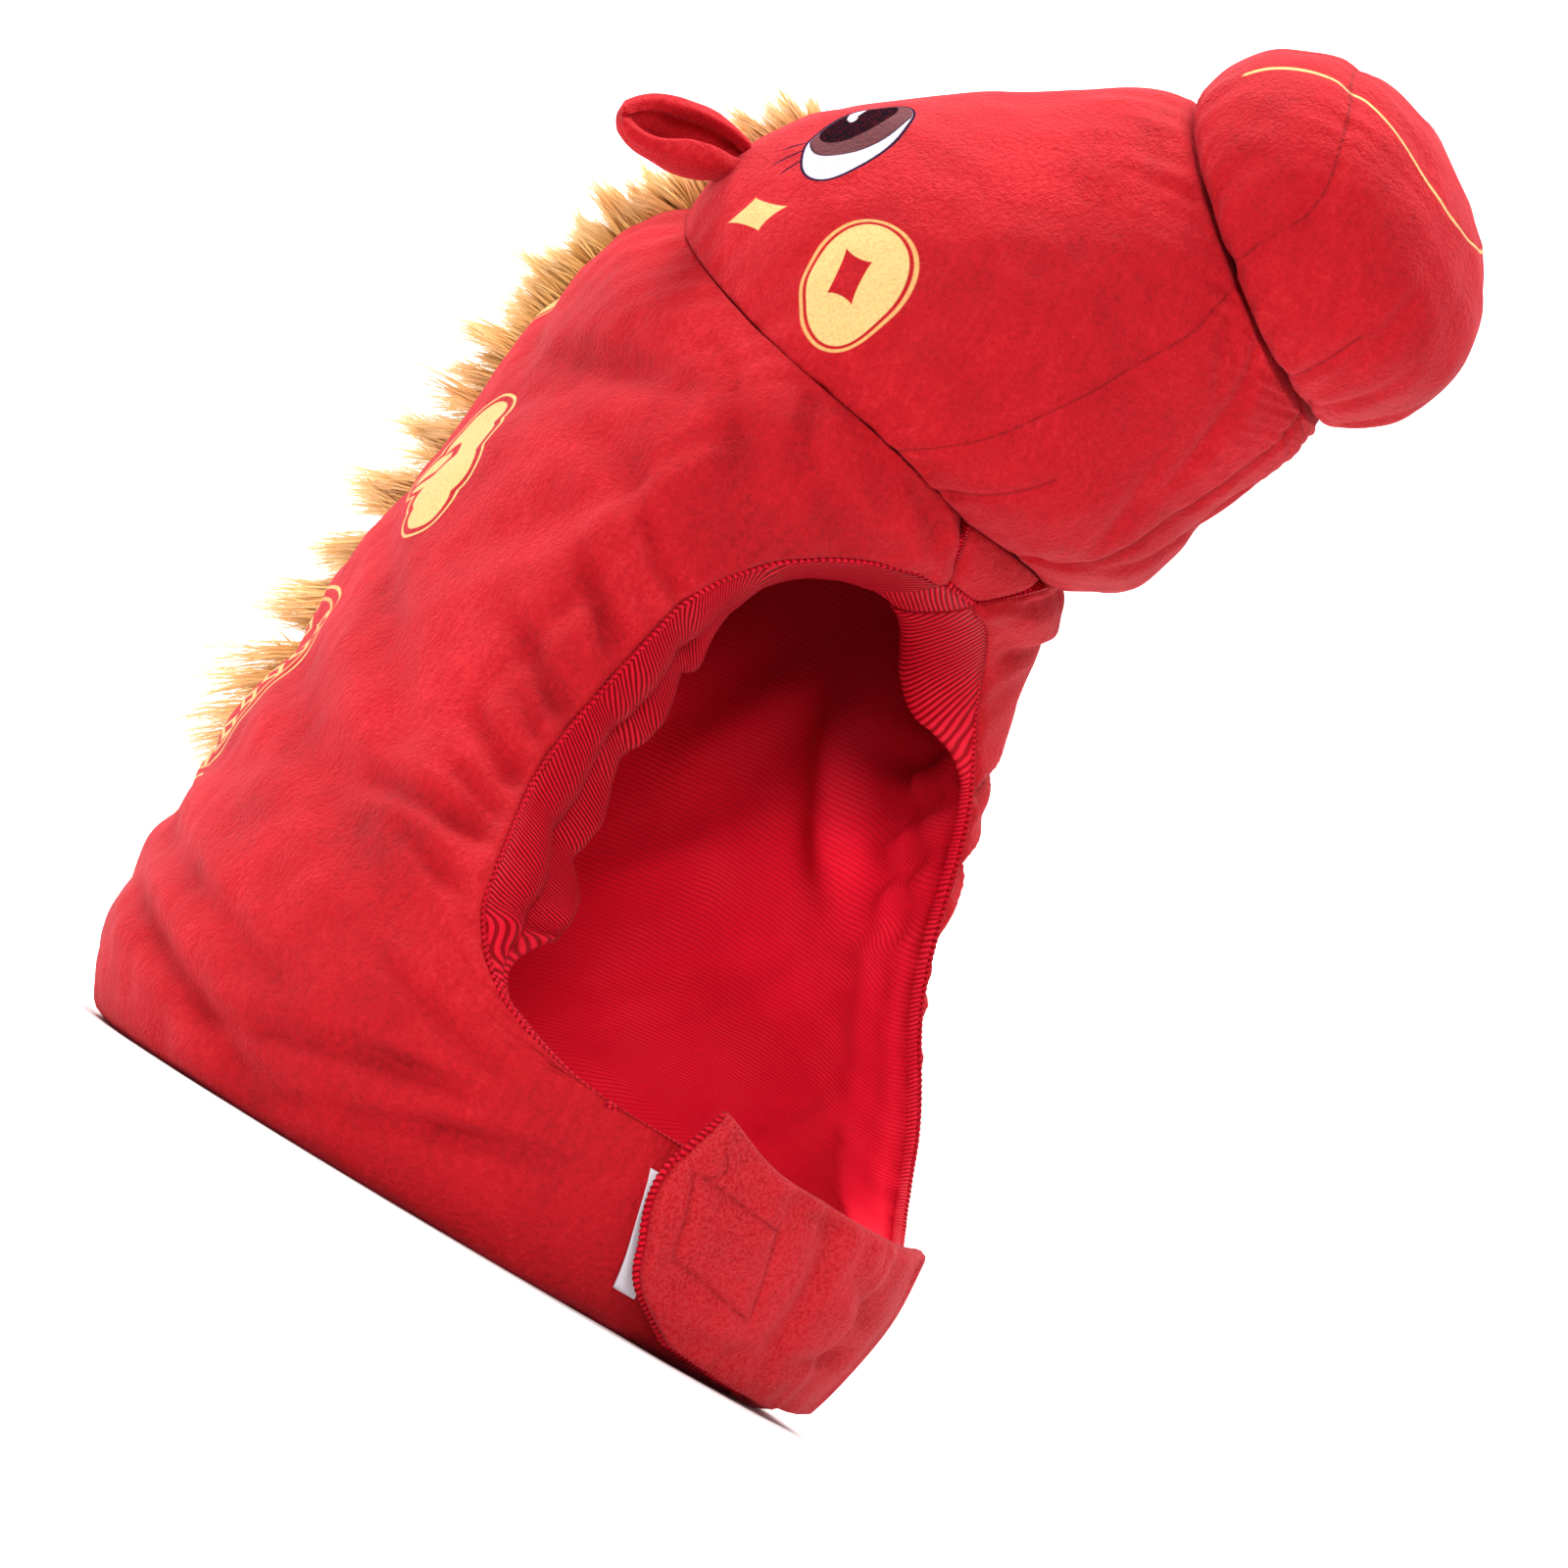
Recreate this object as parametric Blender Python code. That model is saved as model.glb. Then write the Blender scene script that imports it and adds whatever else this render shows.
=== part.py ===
"""Plush horse costume hood: padded hood, stuffed horse head, fur mane, lining and chin tab.

Metres, +Z up. The hood stands on its hem. The face opening and the muzzle point to -Y, and +X is
the wearer's left. Inside the script a point is (x, forward, z), with forward = -Y.
"""

import bpy
import numpy as np
from math import pi, radians

# Driving sizes
WALL = 0.013  # padded wall: plush, wadding and backing cloth
LINING = 0.0015  # thickness of the tricot lining
LINING_DEPTH = WALL + 0.0007  # how far the lining's outer face lies under the hood's
GAP = 0.0004  # clearance between neighbouring pieces
PINCH = 0.003  # how far a seam pulls the cloth in
HEAD_TURN = radians(22)  # the soft neck is twisted, so that the head looks to the wearer's left
TURN_FROM = 0.200  # height where the twist starts
TURN_TO = 0.320  # height where it is complete
ORIGIN_SIDE = -0.0002  # middle of the bounding box, along x
ORIGIN_FORWARD = -0.0170  # middle of the bounding box, along forward

# Hood sections: half an oval behind the widest line and half an oval in front of it
SECTION_COLUMNS = ("height", "back", "widest", "half_width", "front", "back_power", "front_power")
SECTIONS = (
    (0.000, -0.118, 0.018, 0.113, 0.134, 1.8, 2.2),
    (0.012, -0.130, 0.020, 0.118, 0.139, 1.8, 2.2),
    (0.028, -0.139, 0.020, 0.122, 0.143, 1.8, 2.2),
    (0.058, -0.141, 0.021, 0.123, 0.146, 1.8, 2.2),
    (0.090, -0.137, 0.023, 0.120, 0.133, 1.8, 2.3),
    (0.133, -0.138, 0.026, 0.109, 0.086, 1.8, 2.4),
    (0.184, -0.134, 0.022, 0.101, 0.069, 1.8, 2.4),
    (0.222, -0.124, 0.022, 0.095, 0.061, 1.8, 2.2),
    (0.249, -0.117, 0.018, 0.089, 0.074, 1.8, 2.0),
    (0.285, -0.098, 0.012, 0.084, 0.085, 1.8, 2.0),
    (0.320, -0.074, 0.008, 0.077, 0.080, 1.8, 2.0),
)

# Edge of the face opening, from the chin to the brow
OPENING_COLUMNS = ("half_width", "height")
OPENING = (
    (0.0450, 0.0563),
    (0.0780, 0.0578),
    (0.0990, 0.0670),
    (0.1070, 0.0810),
    (0.1070, 0.0975),
    (0.0990, 0.1250),
    (0.0900, 0.1530),
    (0.0800, 0.1833),
    (0.0720, 0.1992),
    (0.0520, 0.2220),
    (0.0300, 0.2360),
    (0.0090, 0.2420),
)
BAND_HEIGHTS = (0.0, 0.014, 0.028, 0.042, 0.0555)  # rows of the chin band
BAND_BACK = 0.92  # height of the same rows at the back, as a share of these
BAND_END = 0.0355  # where the right band ends, past the middle, and the left one begins
BROW_ROWS = ((0.018, 0.2510), (0.027, 0.2590))  # half width and height above the opening
SEAM_BACK = 0.318  # height of the head seam at the back; in front it is at the last brow row
SEAM_DIP = 0.005  # how far it sags at the sides
LINING_EDGE = 0.001  # height of the lining's lower edge, just inside the hem
PANEL_COLUMNS = 14
GUSSET_COLUMNS = 4

# Soft folds pressed into both halves: where the middle of each one is, which way it runs
# (0 is level, 90 is upright) and how long, wide and deep it is
FOLD_COLUMNS = ("height", "section angle", "way in degrees", "half_length", "half_width", "depth")
FOLDS = (
    (0.045, 0.75, 28, 0.055, 0.012, 0.0035),
    (0.086, 0.95, 20, 0.060, 0.013, 0.0035),
    (0.125, 0.60, 38, 0.050, 0.012, 0.0030),
    (0.165, 1.75, 62, 0.045, 0.011, 0.0030),
    (0.205, 1.50, 48, 0.050, 0.012, 0.0035),
    (0.245, 1.15, 35, 0.050, 0.012, 0.0030),
    (0.110, 1.95, 75, 0.040, 0.011, 0.0025),
)
FOLD_RADIUS = 0.115  # turns section angles into lengths along the cloth

# Horse head: each ring goes through a point of the nose line and a point of the jaw line
HEAD_COLUMNS = ("top_forward", "top_height", "bottom_forward", "bottom_height", "half_width", "power")
HEAD = (
    (-0.066, 0.334, 0.100, 0.272, 0.086, 2.1),
    (-0.052, 0.355, 0.110, 0.297, 0.081, 2.1),
    (-0.021, 0.376, 0.117, 0.318, 0.072, 2.1),
    (0.012, 0.394, 0.123, 0.331, 0.063, 2.1),
    (0.046, 0.411, 0.127, 0.3405, 0.055, 2.0),
)
HEAD_STEPS = 2  # rings made between two rows of the table

# Muzzle: distance along its axis and size as a share of the head's last ring
MUZZLE_COLUMNS = ("along", "share")
MUZZLE = (
    (0.0004, 0.94),
    (0.0050, 1.02),
    (0.0160, 1.08),
    (0.0310, 1.07),
    (0.0460, 0.95),
    (0.0570, 0.73),
    (0.0640, 0.40),
)
MUZZLE_TIP = 0.067
MUZZLE_PITCH = radians(45)

CEILING_HEIGHT = 0.318  # top of the lining's dome
CEILING_FORWARD = -0.005
DOME_STEPS = (0.22, 0.48, 0.76)

# Ear, in its own frame: length along it, half width and how deep it is cupped
EAR_COLUMNS = ("along", "half_width", "cup")
EAR = (
    (0.000, 0.0135, 0.0060),
    (0.010, 0.0160, 0.0080),
    (0.022, 0.0155, 0.0075),
    (0.033, 0.0115, 0.0050),
    (0.040, 0.0045, 0.0015),
)
EAR_THICKNESS = 0.0050
EAR_BASE = (0.0539, -0.0606, 0.3228)  # of the left ear; the right one is its mirror image
EAR_AXIS = (0.90, -0.42, -0.20)
EAR_CUP_AXIS = (0.30, 0.60, 0.74)

# Mane: a strip on the middle line, with locks that lean down the back
MANE_ROWS = 60
MANE_SHARE = 0.74  # part of the middle line, from the snout to the hem, that carries the mane
MANE_HALF_WIDTH = 0.011
MANE_SHORT = 0.022
MANE_LONG = 0.046
MANE_DIP = 0.15  # length left between two locks
MANE_SWAY = 0.007
MANE_LEAN = radians(32)
MANE_FOOT = 0.022  # height of the lowest row on the back
LOCK_COLUMNS = ("side, in half widths", "sway", "height over the cloth", "share of the length")
LOCK_PROFILE = (
    (0.0, 0, GAP, 0.0),
    (-1.0, 0, -0.0008, 0.0),
    (-1.7, 1, 0.0, 0.55),
    (-0.8, 1, 0.0, 0.86),
    (0.0, 1, 0.0, 1.0),
    (0.8, 1, 0.0, 0.80),
    (1.7, 1, 0.0, 0.50),
    (1.0, 0, -0.0008, 0.0),
)
MANE_COLUMNS = ("share of the way down", "share of the full length")
MANE_LENGTHS = (
    (0.00, 0.50),
    (0.10, 0.55),
    (0.25, 0.65),
    (0.40, 0.95),
    (0.55, 1.25),
    (0.75, 1.35),
    (0.85, 0.80),
    (1.00, 0.40),
)

# Chin tab and what is under it
TAB_FAR_END = 0.078
TAB_LIFT = 0.0032
TAB_THICKNESS = 0.0070
TAB_END_COLUMNS = ("share of the height", "x of the free end")
TAB_END = ((0.0, -0.014), (0.12, -0.031), (0.35, -0.0425), (0.6, -0.049), (1.0, -0.041))
TAB_EDGE_COLUMNS = ("share of the way to the free end", "lower height", "upper height")
TAB_EDGES = (
    (0.00, 0.0080, 0.0660),
    (0.30, 0.0060, 0.0630),
    (0.60, 0.0060, 0.0625),
    (0.85, 0.0070, 0.0640),
    (1.00, 0.0080, 0.0700),
)
TAB_STEP = 0.008  # width of the step down to the left band
CORNER_COLUMNS = ("x", "height")  # rows: far low, far high, near low and near high corner
PATCH_CORNERS = ((0.012, 0.012), (0.001, 0.036), (-0.027, 0.026), (-0.038, 0.051))
PATCH_THICKNESS = 0.0018
LABEL_CORNERS = ((-0.029, 0.012), (-0.0415, 0.047), (-0.037, 0.012), (-0.0515, 0.047))
LABEL_THICKNESS = 0.0008

PLUSH = ("plush red", (0.72, 0.016, 0.028), 0.85)
TRICOT = ("tricot red", (0.55, 0.008, 0.016), 0.6)
FUR = ("fur golden brown", (0.62, 0.30, 0.08), 0.9)
HOOK_TAPE = ("hook tape red", (0.45, 0.01, 0.02), 0.7)
SATIN = ("label white", (0.85, 0.85, 0.87), 0.5)


def read(table, at):
    """Every column of a table at the given values of its first column, as one smooth curve."""
    rows = np.array(table)
    known = rows[:, 0]
    slopes = np.gradient(rows, known, axis=0)
    at = np.clip(np.asarray(at, float), known[0], known[-1])
    i = np.clip(np.searchsorted(known, at) - 1, 0, len(known) - 2)
    width = (known[i + 1] - known[i])[..., None]
    t = (at - known[i])[..., None] / width
    start = (1 + 2 * t) * (1 - t) ** 2 * rows[i] + t * (1 - t) ** 2 * width * slopes[i]
    end = t * t * (3 - 2 * t) * rows[i + 1] + t * t * (t - 1) * width * slopes[i + 1]
    return start + end


def between(rows, steps):
    """Rows of a table with the given number of smooth steps between each pair."""
    rows = np.array(rows, float)
    numbered = np.column_stack((np.arange(len(rows)), rows))
    at = np.linspace(0, len(rows) - 1, (len(rows) - 1) * steps + 1)
    return read(numbered, at)[:, 1:]


def oval(angle, power):
    """Sideways and lengthways shares of a rounded oval; angle 0 is the back, pi the front."""
    side = np.sign(np.sin(angle)) * np.abs(np.sin(angle)) ** (2 / power)
    length = -np.sign(np.cos(angle)) * np.abs(np.cos(angle)) ** (2 / power)
    return side, length


def section_point(height, angle):
    """A point of the hood's outer face; angle 0 is the back, pi/2 the right side, pi the front."""
    _, back, widest, half_width, front, back_power, front_power = np.moveaxis(
        read(SECTIONS, height), -1, 0
    )
    behind = np.cos(angle) > 0
    side, length = oval(angle, np.where(behind, back_power, front_power))
    reach = np.where(behind, widest - back, front - widest)
    return np.stack((-half_width * side, widest + reach * length, height + 0 * side), axis=-1)


def angle_at(height, half_width):
    """Section angle in front where the hood is that wide; a negative width is past the middle."""
    row = read(SECTIONS, height)
    share = abs(half_width) / row[3]
    return pi - np.sign(half_width) * np.arcsin(share ** (row[6] / 2))


def even_angles(height, last_angle, columns):
    """Section angles from the back to the last angle, at even distances along the cloth."""
    fine = np.linspace(0, last_angle, 200)
    points = section_point(np.full(200, height), fine)
    lengths = np.concatenate(([0], np.cumsum(np.linalg.norm(np.diff(points, axis=0), axis=1))))
    return np.interp(np.linspace(0, lengths[-1], columns), lengths, fine)


def front_edge(band_end):
    """Half width and height down the front edge of a side panel, from the hem to the head seam."""
    band = [(band_end, height) for height in BAND_HEIGHTS]
    middle = ((band_end + OPENING[0][0]) / 2, (BAND_HEIGHTS[-1] + OPENING[0][1]) / 2)
    return band + [middle] + list(between(OPENING, 2)[:-1]) + [OPENING[-1]] + list(BROW_ROWS)


def back_heights(rows):
    """Height of each row of a side panel at the back: the band's own, then even steps."""
    band = np.array(BAND_HEIGHTS) * BAND_BACK
    above = np.linspace(band[-1], SEAM_BACK, rows - len(band) + 1)[1:]
    return np.concatenate((band, above))


def side_panel(band_end):
    """Outer face of the wearer's right panel as rows of points, with each row's section angles."""
    edge = front_edge(band_end)
    backs = back_heights(len(edge))
    share = np.linspace(0, 1, PANEL_COLUMNS)
    points, angles = [], []
    for row, ((half_width, height), back) in enumerate(zip(edge, backs)):
        turn = even_angles(height, angle_at(height, half_width), PANEL_COLUMNS)
        dip = SEAM_DIP * max(0.0, back / SEAM_BACK) ** 4 * np.sin(pi * share)
        heights = back + (height - back) * share - dip
        points.append(section_point(heights, turn))
        angles.append(turn)
    return np.array(points), np.array(angles)


def gusset():
    """Outer face of the brow gusset, between the front edges of the two side panels."""
    edge = [OPENING[-1]] + list(BROW_ROWS)
    points, angles = [], []
    for half_width, height in edge:
        first = angle_at(height, half_width)
        turn = np.linspace(first, 2 * pi - first, GUSSET_COLUMNS + 1)
        points.append(section_point(np.full(len(turn), height), turn))
        angles.append(turn)
    return np.array(points), np.array(angles)


def outward(points, angles):
    """Unit normals of a grid of hood points, worked out from the sections beside each one."""
    step = 0.01
    heights = points[..., 2]
    along = section_point(heights, angles + step) - section_point(heights, angles - step)
    up = section_point(heights + 0.004, angles) - section_point(heights - 0.004, angles)
    normal = np.cross(along, up)
    normal /= np.linalg.norm(normal, axis=-1, keepdims=True)
    centre = np.stack((0 * heights, 0 * heights + 0.01, heights), axis=-1)
    facing = np.sum(normal * (points - centre), axis=-1, keepdims=True)
    return normal * np.sign(facing)


def fold_depth(points, angles):
    """How deep the soft folds are at each point of a side panel."""
    depth = np.zeros(points.shape[:2])
    for height, turn, way, half_length, half_width, deepest in FOLDS:
        along, up = (angles - turn) * FOLD_RADIUS, points[..., 2] - height
        ahead = along * np.cos(radians(way)) + up * np.sin(radians(way))
        aside = up * np.cos(radians(way)) - along * np.sin(radians(way))
        depth += deepest * np.exp(-((ahead / half_length) ** 2) - (aside / half_width) ** 2)
    return depth


def pinched(points, normals):
    """The grid with its upper edge pulled in, where a seam holds the cloth."""
    result = points.copy()
    result[-1] -= PINCH * normals[-1]
    return result


def mirrored(points):
    return points * np.array((-1.0, 1.0, 1.0))


def turned(points):
    """Points of the straight hood after the twist of the neck, in the object's own axes."""
    points = np.asarray(points, float)
    x, forward, z = points[..., 0], points[..., 1], points[..., 2]
    share = np.clip((z - TURN_FROM) / (TURN_TO - TURN_FROM), 0, 1)
    angle = HEAD_TURN * share * share * (3 - 2 * share)
    side = x * np.cos(angle) + forward * np.sin(angle)
    ahead = forward * np.cos(angle) - x * np.sin(angle)
    return np.stack((side - ORIGIN_SIDE, ORIGIN_FORWARD - ahead, z), axis=-1)


def grid_faces(rows, columns, closed=False, leaning=None):
    """Triangles of a grid of points, joined round its columns if it is closed.

    Every square is split from its first corner, or across the other way where leaning says so.
    """
    faces = []
    for row in range(rows - 1):
        for column in range(columns if closed else columns - 1):
            beside = (column + 1) % columns
            a, b = row * columns + column, row * columns + beside
            c, d = b + columns, a + columns
            if leaning and leaning(row, column):
                faces += [(a, b, d), (b, c, d)]
            else:
                faces += [(a, b, c), (a, c, d)]
    return faces


def material(finish):
    name, colour, roughness = finish
    made = bpy.data.materials.get(name)
    if made is None:
        made = bpy.data.materials.new(name)
        made.use_nodes = True
        shader = made.node_tree.nodes["Principled BSDF"]
        shader.inputs["Base Color"].default_value = (*colour, 1.0)
        shader.inputs["Roughness"].default_value = roughness
    return made


def add_solid(name, points, faces, finish):
    """A closed body from points and triangles, turned so that they face out."""
    points = turned(points)
    a, b, c = (points[[face[i] for face in faces]] for i in range(3))
    if np.sum(a * np.cross(b, c)) < 0:
        faces = [tuple(reversed(face)) for face in faces]
    mesh = bpy.data.meshes.new(name)
    mesh.from_pydata([tuple(point) for point in points], [], [tuple(face) for face in faces])
    mesh.validate()
    mesh.shade_smooth()
    mesh.materials.append(material(finish))
    made = bpy.data.objects.new(name, mesh)
    bpy.context.scene.collection.objects.link(made)
    return made


def add_shell(name, outer, inner, faces, finish):
    """A wall between two matching faces, closed along every open edge."""
    count = len(outer)
    used = {(face[i], face[(i + 1) % 3]) for face in faces for i in range(3)}
    rim = sorted((a, b) for a, b in used if (b, a) not in used)
    walls = [(b, a, a + count) for a, b in rim] + [(b, a + count, b + count) for a, b in rim]
    backs = [tuple(corner + count for corner in reversed(face)) for face in faces]
    return add_solid(name, np.concatenate((outer, inner)), list(faces) + backs + walls, finish)


def welded(outer, inner, faces):
    """The same two faces with points that lie together made one."""
    _, first, index = np.unique(
        np.round(outer, 5), axis=0, return_index=True, return_inverse=True
    )
    index = index.reshape(-1)
    joined = [tuple(dict.fromkeys(int(index[corner]) for corner in face)) for face in faces]
    return outer[first], inner[first], [face for face in joined if len(face) > 2]


def add_panel(name, side, band_end):
    """One padded side panel; side is -1 for the wearer's right and 1 for the left."""
    points, angles = side_panel(band_end)
    normals = outward(points, angles)
    folds = fold_depth(points, angles)
    folds[[0, -1]] = 0.0
    folds[:, [0, -1]] = 0.0
    outer = pinched(points, normals) - folds[..., None] * normals
    inner = points - WALL * normals
    inner[0, :, 2] = 0.0
    outer[:, 0, 0] = inner[:, 0, 0] = -GAP / 2
    for face in (outer, inner):
        face[: len(BAND_HEIGHTS) + 1, -1, 0] -= GAP / 2
    rows, columns = points.shape[:2]
    outer, inner = outer.reshape(-1, 3), inner.reshape(-1, 3)
    if side > 0:
        outer, inner = mirrored(outer), mirrored(inner)
    return add_shell(name, outer, inner, grid_faces(rows, columns), PLUSH)


def add_gusset():
    points, angles = gusset()
    normals = outward(points, angles)
    outer = pinched(points, normals)
    inner = points - WALL * normals
    half_widths = np.array([row[0] for row in [OPENING[-1]] + list(BROW_ROWS)])
    narrow = np.ones(outer.shape)
    narrow[..., 0] = (1 - 3 * GAP / half_widths)[:, None]
    faces = grid_faces(*points.shape[:2])
    outer, inner = outer * narrow, inner * narrow
    add_shell("brow_gusset", outer.reshape(-1, 3), inner.reshape(-1, 3), faces, PLUSH)


def seam_loop(depth):
    """The closed line of the head seam, at a depth under the outer face, with its angles."""
    points, angles = side_panel(BAND_END)
    front, front_angles = gusset()
    right = points[-1] - depth * outward(points, angles)[-1]
    ahead = (front - depth * outward(front, front_angles))[-1][1:-1]
    right[0, 0] = 0.0
    loop = np.concatenate((right, ahead, mirrored(right[1:][::-1])))
    turn = angles[-1]
    return loop, np.concatenate((turn, front_angles[-1][1:-1], 2 * pi - turn[1:][::-1]))


def dome(depth, lift):
    """Rings over the wearer's head, from the seam loop in to the top, and the top point."""
    loop, _ = seam_loop(depth)
    top = np.array((0.0, CEILING_FORWARD, CEILING_HEIGHT))
    rings = []
    for share in DOME_STEPS:
        ring = loop + (top - loop) * share
        ring[:, 2] = loop[:, 2] + (top[2] - loop[:, 2]) * np.sin(share * pi / 2)
        rings.append(ring + (0, 0, lift))
    return rings, top + (0, 0, lift)


def add_lining():
    """Thin lining: the walls of both panels, the gusset and the dome in one cloth."""
    grids = ((side_panel(-BAND_END), False), (side_panel(BAND_END), True), (gusset(), None))
    parts = []
    for (grid, angles), flip in grids:
        normals = outward(grid, angles)
        pair = [grid - depth * normals for depth in (LINING_DEPTH, LINING_DEPTH + LINING)]
        for face in pair:
            if flip is not None:
                face[:, 0, 0] = 0.0
                face[0, :, 2] = LINING_EDGE
        faces = grid_faces(*grid.shape[:2])
        if flip:
            pair = [mirrored(face) for face in pair]
            faces = [tuple(reversed(face)) for face in faces]
        parts.append((pair[0].reshape(-1, 3), pair[1].reshape(-1, 3), faces))
    loop, _ = seam_loop(LINING_DEPTH)
    inner_loop, _ = seam_loop(LINING_DEPTH + LINING)
    rings, top = dome(LINING_DEPTH, 0.0)
    inner_rings, inner_top = dome(LINING_DEPTH + LINING, -LINING)
    outer = np.concatenate([loop] + rings + [top[None]])
    inner = np.concatenate([inner_loop] + inner_rings + [inner_top[None]])
    columns = len(loop)
    cap = grid_faces(len(rings) + 1, columns, closed=True)
    last = len(rings) * columns
    cap += [(last + i, last + (i + 1) % columns, last + columns) for i in range(columns)]
    parts.append((outer, inner, cap))
    outer = np.concatenate([part[0] for part in parts])
    inner = np.concatenate([part[1] for part in parts])
    faces, first = [], 0
    for part in parts:
        faces += [tuple(corner + first for corner in face) for face in part[2]]
        first += len(part[0])
    add_shell("lining", *welded(outer, inner, faces), TRICOT)


def add_rings(name, rings, start, end, finish, leaning=None):
    """A closed body lofted through rings of equal count, with a point at each end."""
    columns = len(rings[0])
    points = np.concatenate([np.asarray(ring) for ring in rings] + [np.array([start, end])])
    faces = grid_faces(len(rings), columns, closed=True, leaning=leaning)
    last, first_pole = (len(rings) - 1) * columns, len(rings) * columns
    for i in range(columns):
        beside = (i + 1) % columns
        faces.append((beside, i, first_pole))
        faces.append((last + i, last + beside, first_pole + 1))
    return add_solid(name, points, faces, finish)


def head_ring(row, angles):
    """Ring of the head through a row of its table; angle 0 is the nose line, pi the jaw."""
    top = np.array((0.0, row[0], row[1]))
    bottom = np.array((0.0, row[2], row[3]))
    side, length = oval(angles, row[5])
    centre, reach = (top + bottom) / 2, (bottom - top) / 2
    return centre + length[:, None] * reach - side[:, None] * np.array((row[4], 0.0, 0.0))


def head_rings():
    """Rings of the head from the seam to the muzzle, smooth along each line of points."""
    loop, angles = seam_loop(PINCH)
    loop = loop + (0, 0, GAP)
    known = np.array([loop] + [head_ring(row, angles) for row in HEAD])
    numbered = np.column_stack((np.arange(len(known)), known.reshape(len(known), -1)))
    at = np.linspace(0, len(known) - 1, (len(known) - 1) * HEAD_STEPS + 1)
    return read(numbered, at)[:, 1:].reshape(len(at), -1, 3), angles


def add_head():
    rings, _ = head_rings()
    under, _ = seam_loop(WALL)
    hollow, top = dome(LINING_DEPTH, GAP)
    rows = hollow[::-1] + [under + (0, 0, GAP)] + list(rings)
    seat, right_half = len(hollow), PANEL_COLUMNS - 1 + GUSSET_COLUMNS

    def leaning(row, column):
        """Squares over the lining and the walls are split as theirs are, so that they fit."""
        return row < seat or (row == seat and column < right_half)

    add_rings("horse_head", rows, top, rings[-1].mean(axis=0), PLUSH, leaning)


def add_muzzle():
    rings, _ = head_rings()
    last = rings[-1]
    centre = last.mean(axis=0)
    axis = np.array((0.0, np.cos(MUZZLE_PITCH), np.sin(MUZZLE_PITCH)))
    rows = [centre + (last - centre) * share + axis * along for along, share in between(MUZZLE, 2)]
    add_rings("muzzle", rows, centre + axis * MUZZLE[0][0], centre + axis * MUZZLE_TIP, PLUSH)


def ear_points():
    """Both faces of the right ear, as grids from its base to its tip."""
    axis = np.array(EAR_AXIS) / np.linalg.norm(EAR_AXIS)
    cup = np.array(EAR_CUP_AXIS) - np.dot(EAR_CUP_AXIS, axis) * axis
    cup /= np.linalg.norm(cup)
    across = np.cross(axis, cup)
    shares = np.linspace(-1, 1, 7)
    faces = []
    for lift in (0.5, -0.5):
        rows = []
        for along, half_width, depth in between(EAR, 2):
            fold = depth * (shares**2 - 1)
            thick = EAR_THICKNESS * np.sqrt(1 - 0.85 * shares**2) * lift
            rows.append(
                np.array(EAR_BASE)
                + along * axis
                + (shares * half_width)[:, None] * across
                + (fold + thick)[:, None] * cup
            )
        faces.append(np.array(rows))
    return faces


def add_ears():
    front, back = ear_points()
    faces = grid_faces(*front.shape[:2])
    for name, change in (("ear_left", lambda points: points), ("ear_right", mirrored)):
        add_shell(name, change(front.reshape(-1, 3)), change(back.reshape(-1, 3)), faces, PLUSH)


def middle_line():
    """The middle line from the top of the head down the back, with outward directions."""
    rings, _ = head_rings()
    head = rings[:, 0][::-1]
    heights = np.linspace(SEAM_BACK, MANE_FOOT, 40)[1:]
    back = section_point(heights, 0 * heights)
    line = np.concatenate((head, back))
    lengths = np.concatenate(([0], np.cumsum(np.linalg.norm(np.diff(line, axis=0), axis=1))))
    at = np.linspace(lengths[-1] * (1 - MANE_SHARE), lengths[-1], MANE_ROWS)
    line = np.stack([np.interp(at, lengths, line[:, i]) for i in range(3)], axis=-1)
    way = np.gradient(line, axis=0)
    way /= np.linalg.norm(way, axis=1, keepdims=True)
    out = np.stack((0 * at, way[:, 2], -way[:, 1]), axis=-1)
    return line, way, out


def add_mane():
    """Mane: a backing on the middle line, drawn out into locks that lean down the back."""
    line, way, out = middle_line()
    rings = []
    for row in range(MANE_ROWS):
        share = row / (MANE_ROWS - 1)
        wave = 0.5 + 0.5 * np.sin(2.4 * row) * np.cos(0.7 * row)
        length = MANE_SHORT + (MANE_LONG - MANE_SHORT) * wave * (1 if row % 2 else MANE_DIP)
        length *= read(MANE_LENGTHS, share)[1]
        lean = np.cos(MANE_LEAN) * out[row] + np.sin(MANE_LEAN) * way[row]
        side, sways, base, reach = np.array(LOCK_PROFILE).T[..., None]
        aside = side * MANE_HALF_WIDTH + sways * MANE_SWAY * np.sin(1.9 * row)
        ring = line[row] + aside * (1, 0, 0) + base * out[row] + reach * length * lean
        rings.append(ring)
    start, end = (ring.mean(axis=0) for ring in (rings[0], rings[-1]))
    add_rings("mane", rings, start, end, FUR)


def band_patch(sides, heights, near, far):
    """Two faces over the chin band, through grids of x values and heights, at two distances."""
    angles = np.array([[angle_at(h, -x) for x, h in zip(*row)] for row in zip(sides, heights)])
    points = section_point(heights, angles)
    normals = outward(points, angles)
    outer = points + (far + 0 * heights)[..., None] * normals
    inner = points + (near + 0 * heights)[..., None] * normals
    return outer.reshape(-1, 3), inner.reshape(-1, 3), grid_faces(*heights.shape)


def add_chin_tab():
    up, along = np.meshgrid(np.linspace(0, 1, 7), np.linspace(0, 1, 15), indexing="ij")
    edges = read(TAB_EDGES, along)
    ends = read(TAB_END, up)[..., 1]
    sides = TAB_FAR_END + (ends - TAB_FAR_END) * along
    heights = edges[..., 1] + (edges[..., 2] - edges[..., 1]) * up
    near = np.where(sides > BAND_END + TAB_STEP, GAP, TAB_LIFT)
    add_shell("chin_tab", *band_patch(sides, heights, near, near + TAB_THICKNESS), PLUSH)


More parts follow.
